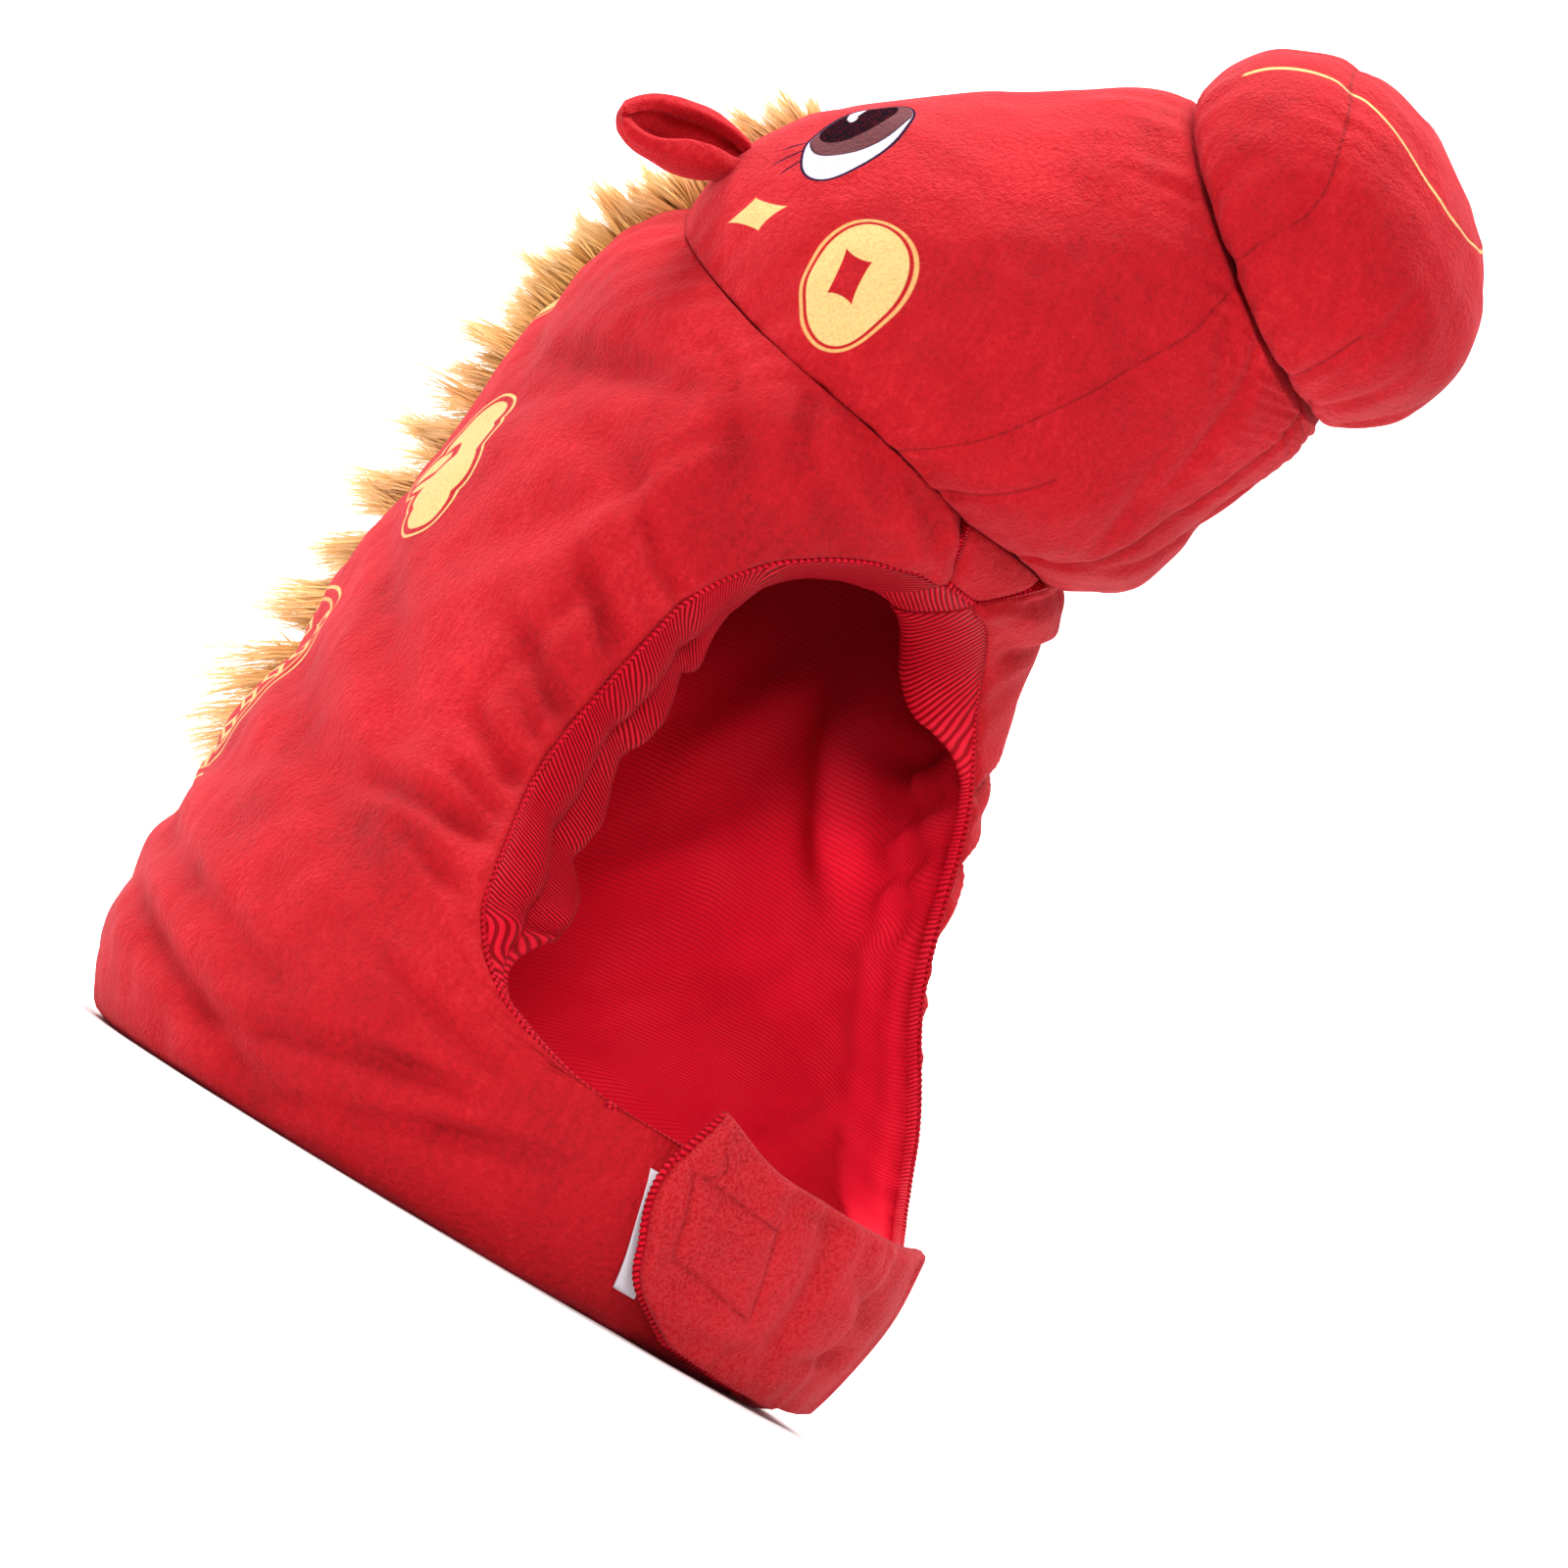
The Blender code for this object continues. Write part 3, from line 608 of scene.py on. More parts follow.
def shell(name, outer, inner, finish, cloth, seams, rims=()):
    """A closed padded piece from its two faces, with lines of points at shares across its rim."""
    rows, columns = outer.shape[:2]
    count = rows * columns
    index = np.arange(count).reshape(rows, columns)
    sides = (index[0], index[1:, -1], index[-1, -2::-1], index[-2:0:-1, 0], index[:1, 0])
    ring = np.concatenate(sides)
    open_ring, lines = ring[:-1], [ring]
    outer, inner, cloth, seams = (grid.reshape(-1, 3) for grid in (outer, inner, cloth, seams))
    points, cloths, offs = [outer, inner], [cloth, cloth], [seams, seams + FAR]
    for number, share in enumerate(rims):
        points.append(outer[open_ring] * (1 - share) + inner[open_ring] * share)
        cloths.append(cloth[open_ring])
        offs.append(seams[open_ring] + FAR)
        loop = 2 * count + number * len(open_ring) + np.arange(len(open_ring))
        lines.append(np.append(loop, loop[0]))
    lines.append(ring + count)
    faces = [grid_faces(rows, columns), grid_faces(rows, columns, first=count, flip=True)]
    for one, two in zip(lines, lines[1:]):
        faces.append(np.stack((one[:-1], two[:-1], two[1:], one[1:]), axis=-1))
    parts = (np.concatenate(values) for values in (points, faces, cloths, offs))
    points, faces, cloth, seams = parts
    return facing_out(make(name, points, faces, finish, cloth, seams))


def thicken(made, thickness, offset=0.0, weld=None):
    """Joins points that are closer than the weld, and gives a cloth its thickness."""
    if weld:
        made.modifiers.new("weld", "WELD").merge_threshold = weld
    thick = made.modifiers.new("cloth", "SOLIDIFY")
    thick.thickness = thickness
    thick.offset = offset
    evaluated = made.evaluated_get(bpy.context.evaluated_depsgraph_get())
    result = bpy.data.meshes.new_from_object(evaluated)
    made.modifiers.clear()
    made.data = result


def hand_in(made, node=None):
    """Hides the CAD part that a piece stands for, if one is given, and puts the piece on the root."""
    if node:
        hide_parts(node)
    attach(made, "root")


# Materials

SOFT_EDGE = 0.00025
STAR_POWER = 0.82
STAR_EDGE = 0.03
STROKE_POWER = 3.0
BUMP_STRENGTH = 0.7


def arithmetic(operation, swapped=False):
    """A method that joins two values by a math node."""

    def work(self, other=None):
        pair = (other, self) if swapped else (self, other)
        return self.nodes.math(operation, *pair)

    return work


class Value:
    """A number, vector or colour in a material's node tree, with plain arithmetic."""

    def __init__(self, nodes, socket):
        self.nodes = nodes
        self.socket = socket

    __add__ = arithmetic("ADD")
    __radd__ = arithmetic("ADD", True)
    __sub__ = arithmetic("SUBTRACT")
    __rsub__ = arithmetic("SUBTRACT", True)
    __mul__ = arithmetic("MULTIPLY")
    __truediv__ = arithmetic("DIVIDE")
    __pow__ = arithmetic("POWER")
    __abs__ = arithmetic("ABSOLUTE")
    either = arithmetic("MAXIMUM")
    there_and_back = arithmetic("PINGPONG")
    wave = arithmetic("SINE")
    root = arithmetic("SQRT")

    def rise(self, low, high):
        """0 below low, 1 above high."""
        inputs = {"Value": self, "From Min": low, "From Max": high}
        return self.nodes.add("MapRange", inputs, interpolation_type="SMOOTHSTEP")

    def below(self, limit, edge=SOFT_EDGE):
        """1 where a distance is under a limit, with a soft edge."""
        return 1.0 - self.rise(limit - edge, limit + edge)


class Nodes:
    """Short forms for building a material's node tree."""

    def __init__(self, name):
        self.material = bpy.data.materials.new(name)
        self.material.use_nodes = True
        self.tree = self.material.node_tree

    def feed(self, socket, value):
        """Links a value to a socket, or sets the socket's own number or colour."""
        if isinstance(value, Value):
            self.tree.links.new(value.socket, socket)
        elif value is not None:
            is_colour = socket.type == "RGBA" and len(value) == 3
            socket.default_value = (*value, 1.0) if is_colour else value

    def add(self, kind, inputs=(), output=0, **settings):
        """One output of a new node with the given inputs and settings."""
        node = self.tree.nodes.new("ShaderNode" + kind)
        for name, value in settings.items():
            setattr(node, name, value)
        for name, value in dict(inputs).items():
            self.feed(node.inputs[name], value)
        return Value(self, node.outputs[output])

    def math(self, operation, *values):
        """What a math node makes of the values."""
        return self.add("Math", enumerate(values), operation=operation)

    def mix(self, share, first, second):
        """The first colour, with a share of the second one over it."""
        inputs = {"Factor": share, "A": first, "B": second}
        return self.add("Mix", inputs, "Result", data_type="RGBA")

    def spot(self, name):
        """The three numbers of a vector that the mesh carries at each point."""
        vector = self.add("Attribute", output="Vector", attribute_name=name)
        first = self.add("SeparateXYZ", {0: vector})
        return [Value(self, socket) for socket in first.socket.node.outputs]

    def noise(self, size, detail=3.0, roughness=0.55, stretch=None):
        """Noise of 0 to 1 with features of about that size."""
        where = self.add("TexCoord", output="Object")
        if stretch:
            where = self.add("Mapping", {"Vector": where, "Scale": stretch})
        inputs = {"Vector": where, "Scale": 1.0 / size, "Detail": detail, "Roughness": roughness}
        return self.add("TexNoise", inputs, "Fac")

    def bump(self, height, distance):
        """Surface directions over a height of 0 to 1 that stands for the distance."""
        inputs = {"Height": height, "Distance": distance, "Strength": BUMP_STRENGTH}
        return self.add("Bump", inputs)

    def finished(self, inputs):
        """The material, with the inputs of its surface."""
        for name, value in inputs.items():
            self.feed(self.tree.nodes["Principled BSDF"].inputs[name], value)
        return self.material


def moved(spot, centre, way=0.0):
    """A point of the cloth in the axes of a motif."""
    return turned_axes(spot[0] - centre[0], spot[1] - centre[1], way)


def inside_oval(spot, half_length, half_width, power=2.0):
    """1 inside an oval, or a rounded box for higher powers; its edge is soft all round."""
    terms, slopes = [], []
    for value, half in zip(spot, (half_length, half_width)):
        share = abs(value) / half
        terms.append(share**power)
        slopes.append((share ** (power - 1.0) / half) ** 2.0)
    steep = (slopes[0] + slopes[1]).root() * power
    return ((terms[0] + terms[1] - 1.0) / steep.either(1.0)).below(0.0)


def inside_stroke(spot, ends, half_width):
    """1 inside a short stroke between two points."""
    (along_1, aside_1), (along_2, aside_2) = ends
    length = hypot(along_2 - along_1, aside_2 - aside_1)
    way = degrees(atan2(aside_2 - aside_1, along_2 - along_1))
    middle = ((along_1 + along_2) / 2, (aside_1 + aside_2) / 2)
    return inside_oval(moved(spot, middle, way), length / 2 + half_width, half_width, STROKE_POWER)


def inside_star(spot, centre, first, second):
    """1 inside a four-pointed star whose half axes are the two given vectors."""
    u, v = spot[0] - centre[0], spot[1] - centre[1]
    area = first[0] * second[1] - first[1] * second[0]
    terms = [
        abs(u * (across / area) + v * (down / area)) ** STAR_POWER
        for across, down in ((second[1], -second[0]), (-first[1], first[0]))
    ]
    return (terms[0] + terms[1]).below(1.0, STAR_EDGE)


# Printed motifs: a spot is the distance from the middle line and the distance along the cloth

EYE_CENTRE = (0.0752, 0.0614)
EYE_WAY = 139.0
EYE_SIZE = (0.0285, 0.0125)
EYE_RIM = 0.0010
LASH_HALF_WIDTH = 0.00045
# along, aside, way, half_length
LASHES = (
    (-0.0196, 0.0118, 137, 0.0046),
    (-0.0146, 0.0152, 118, 0.0056),
    (-0.0092, 0.0158, 106, 0.0044),
)
# centre, size, ink
IRIS = (
    ((0.0078, 0.0020), (0.0236, 0.0118), EYE_NAVY),
    ((0.0078, 0.0020), (0.0230, 0.0113), EYE_BROWN),
    ((0.0102, 0.0046), (0.0178, 0.0082), EYE_BLACK),
)
# centre, way, size
EYE_LIGHTS = (((0.0165, 0.0088), 12, (0.0074, 0.0016)), ((0.0108, 0.0066), 20, (0.0030, 0.0012)))


def print_eye(n, spot, colour):
    """A printed eye: three lashes, navy rim, white, brown iris, pupil and two highlights."""
    at = moved(spot, EYE_CENTRE, EYE_WAY)
    for along, aside, way, length in LASHES:
        lash = inside_oval(moved(at, (along, aside), way), length, LASH_HALF_WIDTH)
        colour = n.mix(lash, colour, EYE_NAVY)
    colour = n.mix(inside_oval(at, *EYE_SIZE), colour, EYE_NAVY)
    white = inside_oval(at, *(half - EYE_RIM for half in EYE_SIZE))
    colour = n.mix(white, colour, EYE_WHITE)
    for centre, size, ink in IRIS:
        colour = n.mix(inside_oval(moved(at, centre), *size) * white, colour, ink)
    lights = [inside_oval(moved(at, centre, way), *size) for centre, way, size in EYE_LIGHTS]
    return n.mix(lights[0].either(lights[1]) * white, colour, EYE_WHITE)


STAR = ((0.0911, 0.0224), (0.0074, 0.0083), (-0.0070, 0.0028))


def print_star(n, spot, colour):
    """A four-pointed star on the cheek."""
    return n.mix(inside_star(spot, *STAR), colour, PRINT_YELLOW)


COIN_CENTRE = (0.1372, 0.0284)
COIN_WAY = 132.0
COIN_SIZE = (0.0254, 0.0146)
COIN_RING = 0.0011
COIN_GAP = 0.0011
COIN_HOLE = ((0.1351, 0.0286), (-0.0096, 0.0058), (-0.0010, 0.0077))


def print_coin(n, spot, colour):
    """A coin with a four-pointed hole and a thin ring round it."""
    at = moved(spot, COIN_CENTRE, COIN_WAY)
    whole, inside_ring, disc = (
        inside_oval(at, *(half - inset for half in COIN_SIZE))
        for inset in (0.0, COIN_RING, COIN_RING + COIN_GAP)
    )
    colour = n.mix(whole * (1.0 - inside_ring), colour, PRINT_ORANGE)
    return n.mix(disc * (1.0 - inside_star(spot, *COIN_HOLE)), colour, PRINT_YELLOW)


# along, aside, radius
CLOUD_LOBES = (
    (0.0165, 0.0010, 0.0150),
    (0.0035, -0.0010, 0.0158),
    (-0.0090, -0.0010, 0.0158),
    (-0.0215, 0.0000, 0.0118),
    (0.0030, 0.0130, 0.0115),
)
CLOUD_BLEND = 0.0012
CLOUD_LINE = 0.0010
CLOUD_GAP = 0.0032
# along and aside of the points that the curl runs through
CLOUD_CURL = (
    (0.0010, 0.0240),
    (0.0005, 0.0090),
    (0.0050, 0.0035),
    (0.0105, 0.0050),
    (0.0110, 0.0095),
)
CURL_HALF_WIDTH = 0.0016


def print_cloud(n, spot, colour, centre, way, scale):
    """A lobed cloud with a curl in it and a thin line round it."""
    at = moved(spot, centre, way)
    nearest = None
    for along, aside, radius in CLOUD_LOBES:
        u, v = moved(at, (along * scale, aside * scale))
        out = (abs(u) ** 2.0 + abs(v) ** 2.0).root() - radius * scale
        nearest = n.math("SMOOTH_MIN", nearest, out, CLOUD_BLEND) if nearest else out
    whole, hollow, fill = (nearest.below(-inset * scale) for inset in (0.0, CLOUD_LINE, CLOUD_GAP))
    points = [(along * scale, aside * scale) for along, aside in CLOUD_CURL]
    curl = None
    for ends in zip(points, points[1:]):
        stroke = inside_stroke(at, ends, CURL_HALF_WIDTH * scale)
        curl = curl.either(stroke) if curl else stroke
    colour = n.mix(whole * (1.0 - hollow), colour, PRINT_YELLOW)
    return n.mix(fill * (1.0 - curl), colour, PRINT_YELLOW)


BORDER_CENTRE = (0.0660, 0.1130)
BORDER_WAY = 97.0
BORDER_SIZE = (0.0365, 0.0430)
BORDER_POWER = 4.0
BORDER_INSETS = (0.0, 0.0012, 0.0042, 0.0054)
LOZENGE_PITCH = 0.0215
LOZENGE_ROW = 0.0150
LOZENGES = ((0.0052, 0.0110), (0.0026, 0.0060))  # half_length, half_width; outside, inside


def print_border(n, spot, colour):
    """A rounded border with rows of lozenges in it, a plain ornament."""
    at = moved(spot, BORDER_CENTRE, BORDER_WAY)
    lines = [
        inside_oval(at, *(half - inset for half in BORDER_SIZE), BORDER_POWER)
        for inset in BORDER_INSETS
    ]
    column = (at[0] + BORDER_SIZE[0]).there_and_back(LOZENGE_PITCH / 2)
    spot = (column - LOZENGE_PITCH / 4, at[1].there_and_back(LOZENGE_ROW))
    outer, inner = (
        inside_star(spot, (0.0, 0.0), (half_length, 0.0), (0.0, half_width))
        for half_length, half_width in LOZENGES
    )
    colour = n.mix(lines[0] * (1.0 - lines[1]), colour, PRINT_YELLOW)
    colour = n.mix(lines[2] * (1.0 - lines[3]), colour, PRINT_ORANGE)
    return n.mix(lines[3] * (outer * (1.0 - inner)), colour, PRINT_YELLOW)


MOUTH_HALF_WIDTH = 0.0415
MOUTH_TOP = -0.038
MOUTH_DEPTH = 0.0585
MOUTH_LINE = 0.0006
MOUTH_POWER = 2.3
MOUTH_DOWN = (0.0, 0.0006)  # only the lower half of the oval is drawn
MOUTH_AHEAD = (0.020, 0.022)  # and only past this distance along the muzzle


def print_mouth(n, spot, colour):
    """A wide U round the front of the muzzle, as one thin line."""
    at = (spot[0], spot[1] - MOUTH_TOP)
    whole, inside = (
        inside_oval(at, MOUTH_HALF_WIDTH + more, MOUTH_DEPTH + more, MOUTH_POWER)
        for more in (MOUTH_LINE, -MOUTH_LINE)
    )
    lower = at[1].rise(*MOUTH_DOWN)
    ahead = spot[2].rise(*MOUTH_AHEAD)
    return n.mix(whole * (1.0 - inside) * (lower * ahead), colour, PRINT_YELLOW)


# what is printed, with its centre, way and scale
HEAD_PRINTS = ((print_eye,), (print_star,), (print_coin,))
MUZZLE_PRINTS = ((print_mouth,),)
HOOD_PRINTS = (
    (print_cloud, (0.1065, 0.2010), 130.0, 1.0),
    (print_cloud, (0.0225, 0.2680), 104.0, 0.92),
    (print_border,),
)

STITCH_PITCH = 0.0034
STITCH_HALF_WIDTH = 0.00035
STITCH_EDGE = 0.0002
SEAM_SOFT = 0.0006  # half width and edge of a seam's soft shade
# Sizes of the pile's unevenness
BRUSHED_SIZE = 0.050
STREAKS_SIZE = 0.0030
FUZZ_SIZE = 0.0018
GRAIN_SIZE = 0.0010
PILE_DEPTH = 0.0009


def plush(name, prints=(), stitched=(), wool=0.0):
    """Short velour pile: brushed streaks, pile grain, painted shade down in creases and painted
    highlight on their shoulders, prints and dashed seams.
    """
    n = Nodes(name)
    u, v, crease = n.spot("cloth")
    brushed = n.noise(BRUSHED_SIZE)
    streaks = n.noise(STREAKS_SIZE, 3.0, 0.6, (1.0, 1.0, 0.30))
    fuzz = n.noise(FUZZ_SIZE, 3.0, 0.6)
    grain = n.noise(GRAIN_SIZE, 2.0, 0.7)
    # The crease value paints shade: darker down in creases and dips, lighter as a painted highlight on
    # a crease's raised shoulders
    tone = brushed * 0.38 + streaks * 0.16 + fuzz * 0.24 + grain * 0.22 - crease * 0.045
    colour = n.mix(tone.rise(0.33, 0.52), PLUSH_DEEP, PLUSH_RED)
    colour = n.mix(tone.rise(0.49, 0.66), colour, PLUSH_LIGHT)
    if wool:
        colour = n.mix(grain.rise(0.40, 0.62) * wool, colour, TAB_LIGHT)
    for draw, *values in prints:
        colour = draw(n, (u, v, crease), colour, *values)
    specks = grain.rise(0.46, 0.62) * 0.34
    colour = n.mix(specks, colour, n.mix(0.5, colour, PLUSH_DEEP))
    if stitched:
        seams = n.spot("seams")
        dash = ((u + v) * (2 * pi / STITCH_PITCH)).wave().rise(-0.75, -0.35)
        for number in stitched:
            off = abs(seams[number])
            line = off.below(STITCH_HALF_WIDTH, STITCH_EDGE) * dash * 0.70
            # A soft band of painted shade along the seam, beside the dashes of thread
            soft = off.below(SEAM_SOFT, SEAM_SOFT) * 0.30
            colour = n.mix(line.either(soft), colour, STITCH_AND_SEAM_SHADE)
    pale = n.add("RGBToBW", {0: colour}).rise(0.012, 0.055)
    return n.finished(
        {
            "Base Color": colour,
            "Roughness": brushed * 0.24 + 0.66,
            "Normal": n.bump(grain + fuzz * 1.4, PILE_DEPTH),
            "Sheen Weight": pale * 0.30,
            "Sheen Roughness": 0.35,
            "Sheen Tint": PLUSH_SHEEN,
            "Specular IOR Level": pale * 0.16,
        }
    )


RIB = 0.0016  # spacing of the lining's slanting ribs
RIB_SLANT = (-0.42, 0.91)
PIPING_RIB = 0.0019
PIPING_SLANT = (0.94, 0.34)
RIB_DEPTH = 0.0004
RIB_WANDER, RIB_WANDER_SIZE = 0.0022, 0.020
LOOP_SIZE = 0.0005
TRICOT_BRUSHED_SIZE = 0.026
WEAVE_DEPTH = 0.0002
SOIL_SIZE = 0.006
FUR_SHADE_SIZE = 0.012


def tricot(name, pitch, slant):
    """Knitted lining with slanting ribs, with painted shade in their grooves and painted highlight on
    their crests. The cloth's third value is above 0 in the roll and below 0 in dips; both darken it as
    painted shade.
    """
    n = Nodes(name)
    u, v, shade_state = n.spot("cloth")
    roll, dip = shade_state.either(0.0), (shade_state * -1.0).either(0.0)
    wander = (n.noise(RIB_WANDER_SIZE, 1.0) - 0.5) * RIB_WANDER
    across = u * slant[0] + v * slant[1] + wander
    rib = (across * (2 * pi / pitch)).wave() * 0.5 + 0.5
    loops = n.noise(LOOP_SIZE, 2.0, 0.5)
    brushed = n.noise(TRICOT_BRUSHED_SIZE, 2.0, 0.5)
    # Painted shade in the rib grooves, deeper on the rolls, and a painted highlight on the rib crests
    # in brushed patches
    groove = rib.rise(0.75, 0.15) * (roll * 0.78 + 0.16)
    colour = n.mix(groove, LINING_RED, LINING_SHADE)
    rib_highlight = brushed.rise(0.42, 0.70) * rib.rise(0.2, 0.9) * 0.45
    colour = n.mix(rib_highlight, colour, LINING_HIGHLIGHT)
    # Painted shade over the far wall's dips, the dome, the rolls, the brow flap and the piping
    colour = n.mix(dip * 0.96 + roll * 0.48, colour, LINING_SHADE)
    return n.finished(
        {
            "Base Color": colour,
            "Roughness": loops * 0.30 + 0.40,
            "Normal": n.bump(rib * (roll * 0.65 + 0.35) + loops * 0.3, RIB_DEPTH),
            "Specular IOR Level": 0.14,
            "Specular Tint": LINING_SHINE,
        }
    )


def fur():
    """Long golden pile, darker at the roots and cream at the tips."""
    n = Nodes("golden_fur")
    share, tone, _ = n.spot("cloth")
    colour = n.mix(share.rise(0.0, 0.45), FUR_DEEP, FUR_GOLD)
    colour = n.mix(share.rise(0.35, 1.0) * (tone * 0.65 + 0.35), colour, FUR_CREAM)
    colour = n.mix(n.noise(FUR_SHADE_SIZE, 2.0).rise(0.35, 0.7) * 0.3, colour, FUR_DEEP)
    inputs = {"Base Color": colour, "Roughness": tone * 0.2 + 0.45, "Specular IOR Level": 0.15}
    return n.finished(inputs)


def woven(name, colour_low, colour_high, pitch):
    """Close plain weave, for the label and the tape."""
    n = Nodes(name)
    u, v, _ = n.spot("cloth")
    warp, weft = ((value * (2 * pi / pitch)).wave() for value in (u, v))
    weave = warp * weft * 0.5 + 0.5
    soil = n.noise(SOIL_SIZE)
    colour = n.mix(weave, colour_low, colour_high)
    colour = n.mix(soil * 0.25, colour, colour_low)
    normal = n.bump(weave, WEAVE_DEPTH)
    return n.finished({"Base Color": colour, "Roughness": soil * 0.2 + 0.40, "Normal": normal})


# The hood's two padded halves and the gusset

HEM_HEIGHT = 0.0002
EDGE_DEPTH = 0.0052
EDGE_TAPER = 0.028
# Heights between which one part of the front edge becomes the next
BAND_TO_SIDE = (0.0560, 0.0600)
SIDE_TO_BROW = (0.2405, 0.2430)
TAPER_STARTS = (0.0562, 0.0640)
TAPER_ENDS = (0.220, 0.236)
STITCHED_ABOVE = 0.243
# radius, share of the full round
EDGE_ROUND = (0.0045, 0.55)
HEM_ROUND = (0.0050, 0.9)
HEM_ROUND_UNDER = (0.004, 0.6)
GUSSET_ROUND = (0.004, 0.5)
CREASE_GAIN = 1.1
CREASE_AT_EDGE = 0.35  # share of a crease's depth that is left on the front edge
UNDER_DEPTH = WALL - 0.0012
GUSSET_GAP = 0.7 * GAP
GUSSET_WALL = WALL - 0.001
EDGES = ("back", "front", "low", "high")
# edge, distance from it at which folds and creases are whole
FOLD_CLEAR = (("low", 0.012), ("high", 0.02), ("back", 0.03), ("front", 0.01))
CREASE_CLEAR = (("low", 0.006), ("high", 0.008), ("back", 0.02))
CREASE_EDGE = 0.006
# height, size, seed
HOOD_GRAIN = (0.0004, 0.018, 15)
HOOD_SWELL = (0.0005, 0.034, 11)
HOOD_FUZZ = (0.0002, 0.007, 21)
GUSSET_LUMPS = ((0.0005, 0.010, 61),)
SWELL_CLEAR = 0.01
PUSHED_OUT = -0.0045  # how far the plush may swell past its section, and sink below it
PUSHED_IN = 0.0095
RIM_SHARES = (0.25, 0.5, 0.75)
# height, seam, distance from it, reach, power
HOOD_RIDGES = (
    (PINCH * 1.3, "high", 0.0, 0.0075, 1.3),
    (-0.0022, "high", 0.022, 0.013, 2.0),
    (0.0022, "back", 0.0, 0.010, 1.5),
)
BROW_RIDGE = ((0.0026, "front", 0.0, 0.0035, 1.4),)
GUSSET_RIDGES = ((0.0022, "side", 0.0, 0.003, 1.4), (PINCH, "high", 0.0, 0.004, 1.3))
# height, along, seam, pitch, reach, seed, clear of the seam
HOOD_GATHERS = (
    (0.0011, "back", "high", 0.013, 0.014, 31, 0.004),
    (0.0010, "low", "front", 0.015, 0.016, 41, 0.003),
    (0.0008, "back", "low", 0.022, 0.012, 51, 0.006),
)


def panel_lengths(points):
    """Distances of a panel's points from its back, front, lower and upper edges."""
    back, low = lengths_along(points, 1), lengths_along(points, 0)
    return back, back[:, -1:] - back, low, low[-1:] - low


def edge_taper(heights, front):
    """How much thinner the padding is near the sides of the opening."""
    edge = heights[:, -1:]
    beside = smooth(edge, *TAPER_STARTS) * (1 - smooth(edge, *TAPER_ENDS))
    return (LINING_DEPTH - EDGE_DEPTH) * (1 - smooth(front, 0.0, EDGE_TAPER)) * beside


def hood_panel(name, side, band_end, finish):
    """One padded half of the hood, round at its edges and creased where it is pressed."""
    heights, angles = side_panel(band_end)
    points, normals = hood_face(heights, angles)
    back, front, low, high = panel_lengths(points)
    off = dict(zip(EDGES, (back, front, low, high)))
    edge = heights[:, -1:]
    over_band, brow = smooth(edge, *BAND_TO_SIDE), smooth(edge, *SIDE_TO_BROW)
    fine = crease_depth(angles * FOLD_RADIUS, heights, CREASES, FOLD_RADIUS)
    fine += unevenness(points, (HOOD_GRAIN,), side)
    fine *= clear_of(off, CREASE_CLEAR)
    fine *= CREASE_AT_EDGE + (1 - CREASE_AT_EDGE) * smooth(front, 0.0, CREASE_EDGE)
    depth = fold_depth(FOLDS, heights, angles) * clear_of(off, FOLD_CLEAR)
    depth += CREASE_GAIN * fine + ridges(off, HOOD_RIDGES) - gathers(off, HOOD_GATHERS, side)
    depth += roll_in(front, *EDGE_ROUND) * over_band * (1 - brow) + brow * ridges(off, BROW_RIDGE)
    depth += roll_in(low, *HEM_ROUND)
    depth -= unevenness(points, (HOOD_SWELL,), side) * smooth(low, 0.0, SWELL_CLEAR)
    depth -= unevenness(points, (HOOD_FUZZ,), side)
    under = UNDER_DEPTH - edge_taper(heights, front) - roll_in(low, *HEM_ROUND_UNDER)
    outer = points - np.clip(depth, PUSHED_OUT, PUSHED_IN)[..., None] * normals
    inner = points - under[..., None] * normals
    band_rows = len(BAND_HEIGHTS) * ROW_STEPS + 1
    for face in (outer, inner):
        face[0, :, 2] = HEM_HEIGHT
        face[:, 0, 0] = -GAP / 2
        face[:band_rows, -1, 0] -= GAP / 2
        face *= MIRROR if side > 0 else 1.0
    # The third cloth value carries the creases into the plush's colour: painted shade in them, painted
    # highlight on their shoulders
    cloth = np.stack((back, heights, fine / CREASE_SHADE_FULL), axis=-1)
    seams = np.stack((np.where(edge > STITCHED_ABOVE, front, FAR), high, low), axis=-1)
    made = shell(name, outer, inner, finish, cloth, seams, RIM_SHARES)
    hand_in(made, name.replace("_plush", ""))


def brow_gusset(finish):
    """The small panel between the two halves, over the opening."""
    heights, angles = gusset()
    points, normals = hood_face(heights, angles)
    across, _, low, high = panel_lengths(points)
    side = np.minimum(across, across[:, -1:] - across)
    depth = ridges({"side": side, "high": high}, GUSSET_RIDGES)
    depth += roll_in(low, *GUSSET_ROUND) - unevenness(points, GUSSET_LUMPS)
    narrow = np.ones(points.shape)
    narrow[..., :1] = 1 - GUSSET_GAP / np.abs(points[:, :1, :1])
    outer = (points - depth[..., None] * normals) * narrow
    inner = (points - GUSSET_WALL * normals) * narrow
    cloth = np.stack((across, low, 0 * low), axis=-1)
    seams = np.stack((side, high, low + FAR), axis=-1)
    made = shell("brow_gusset_plush", outer, inner, finish, cloth, seams)
    hand_in(made, "brow_gusset")


def seam_loop(depth, skip=1):
    """The closed line of the head seam, at a depth under the outer face, with its angles."""
    heights, angles = (grid[-1, ::skip] for grid in side_panel(BAND_END))
    ahead_heights, ahead_angles = (grid[-1, 1:-1] for grid in gusset())
    lines = []
    for up, turn in ((heights, angles), (ahead_heights, ahead_angles)):
        points, normals = hood_face(up, turn)
        lines.append(points - depth * normals)
    right, ahead = lines
    right[0, 0] = 0.0
    loop = np.concatenate((right, ahead, right[:0:-1] * MIRROR))
    return loop, np.concatenate((angles, ahead_angles, 2 * pi - angles[:0:-1]))


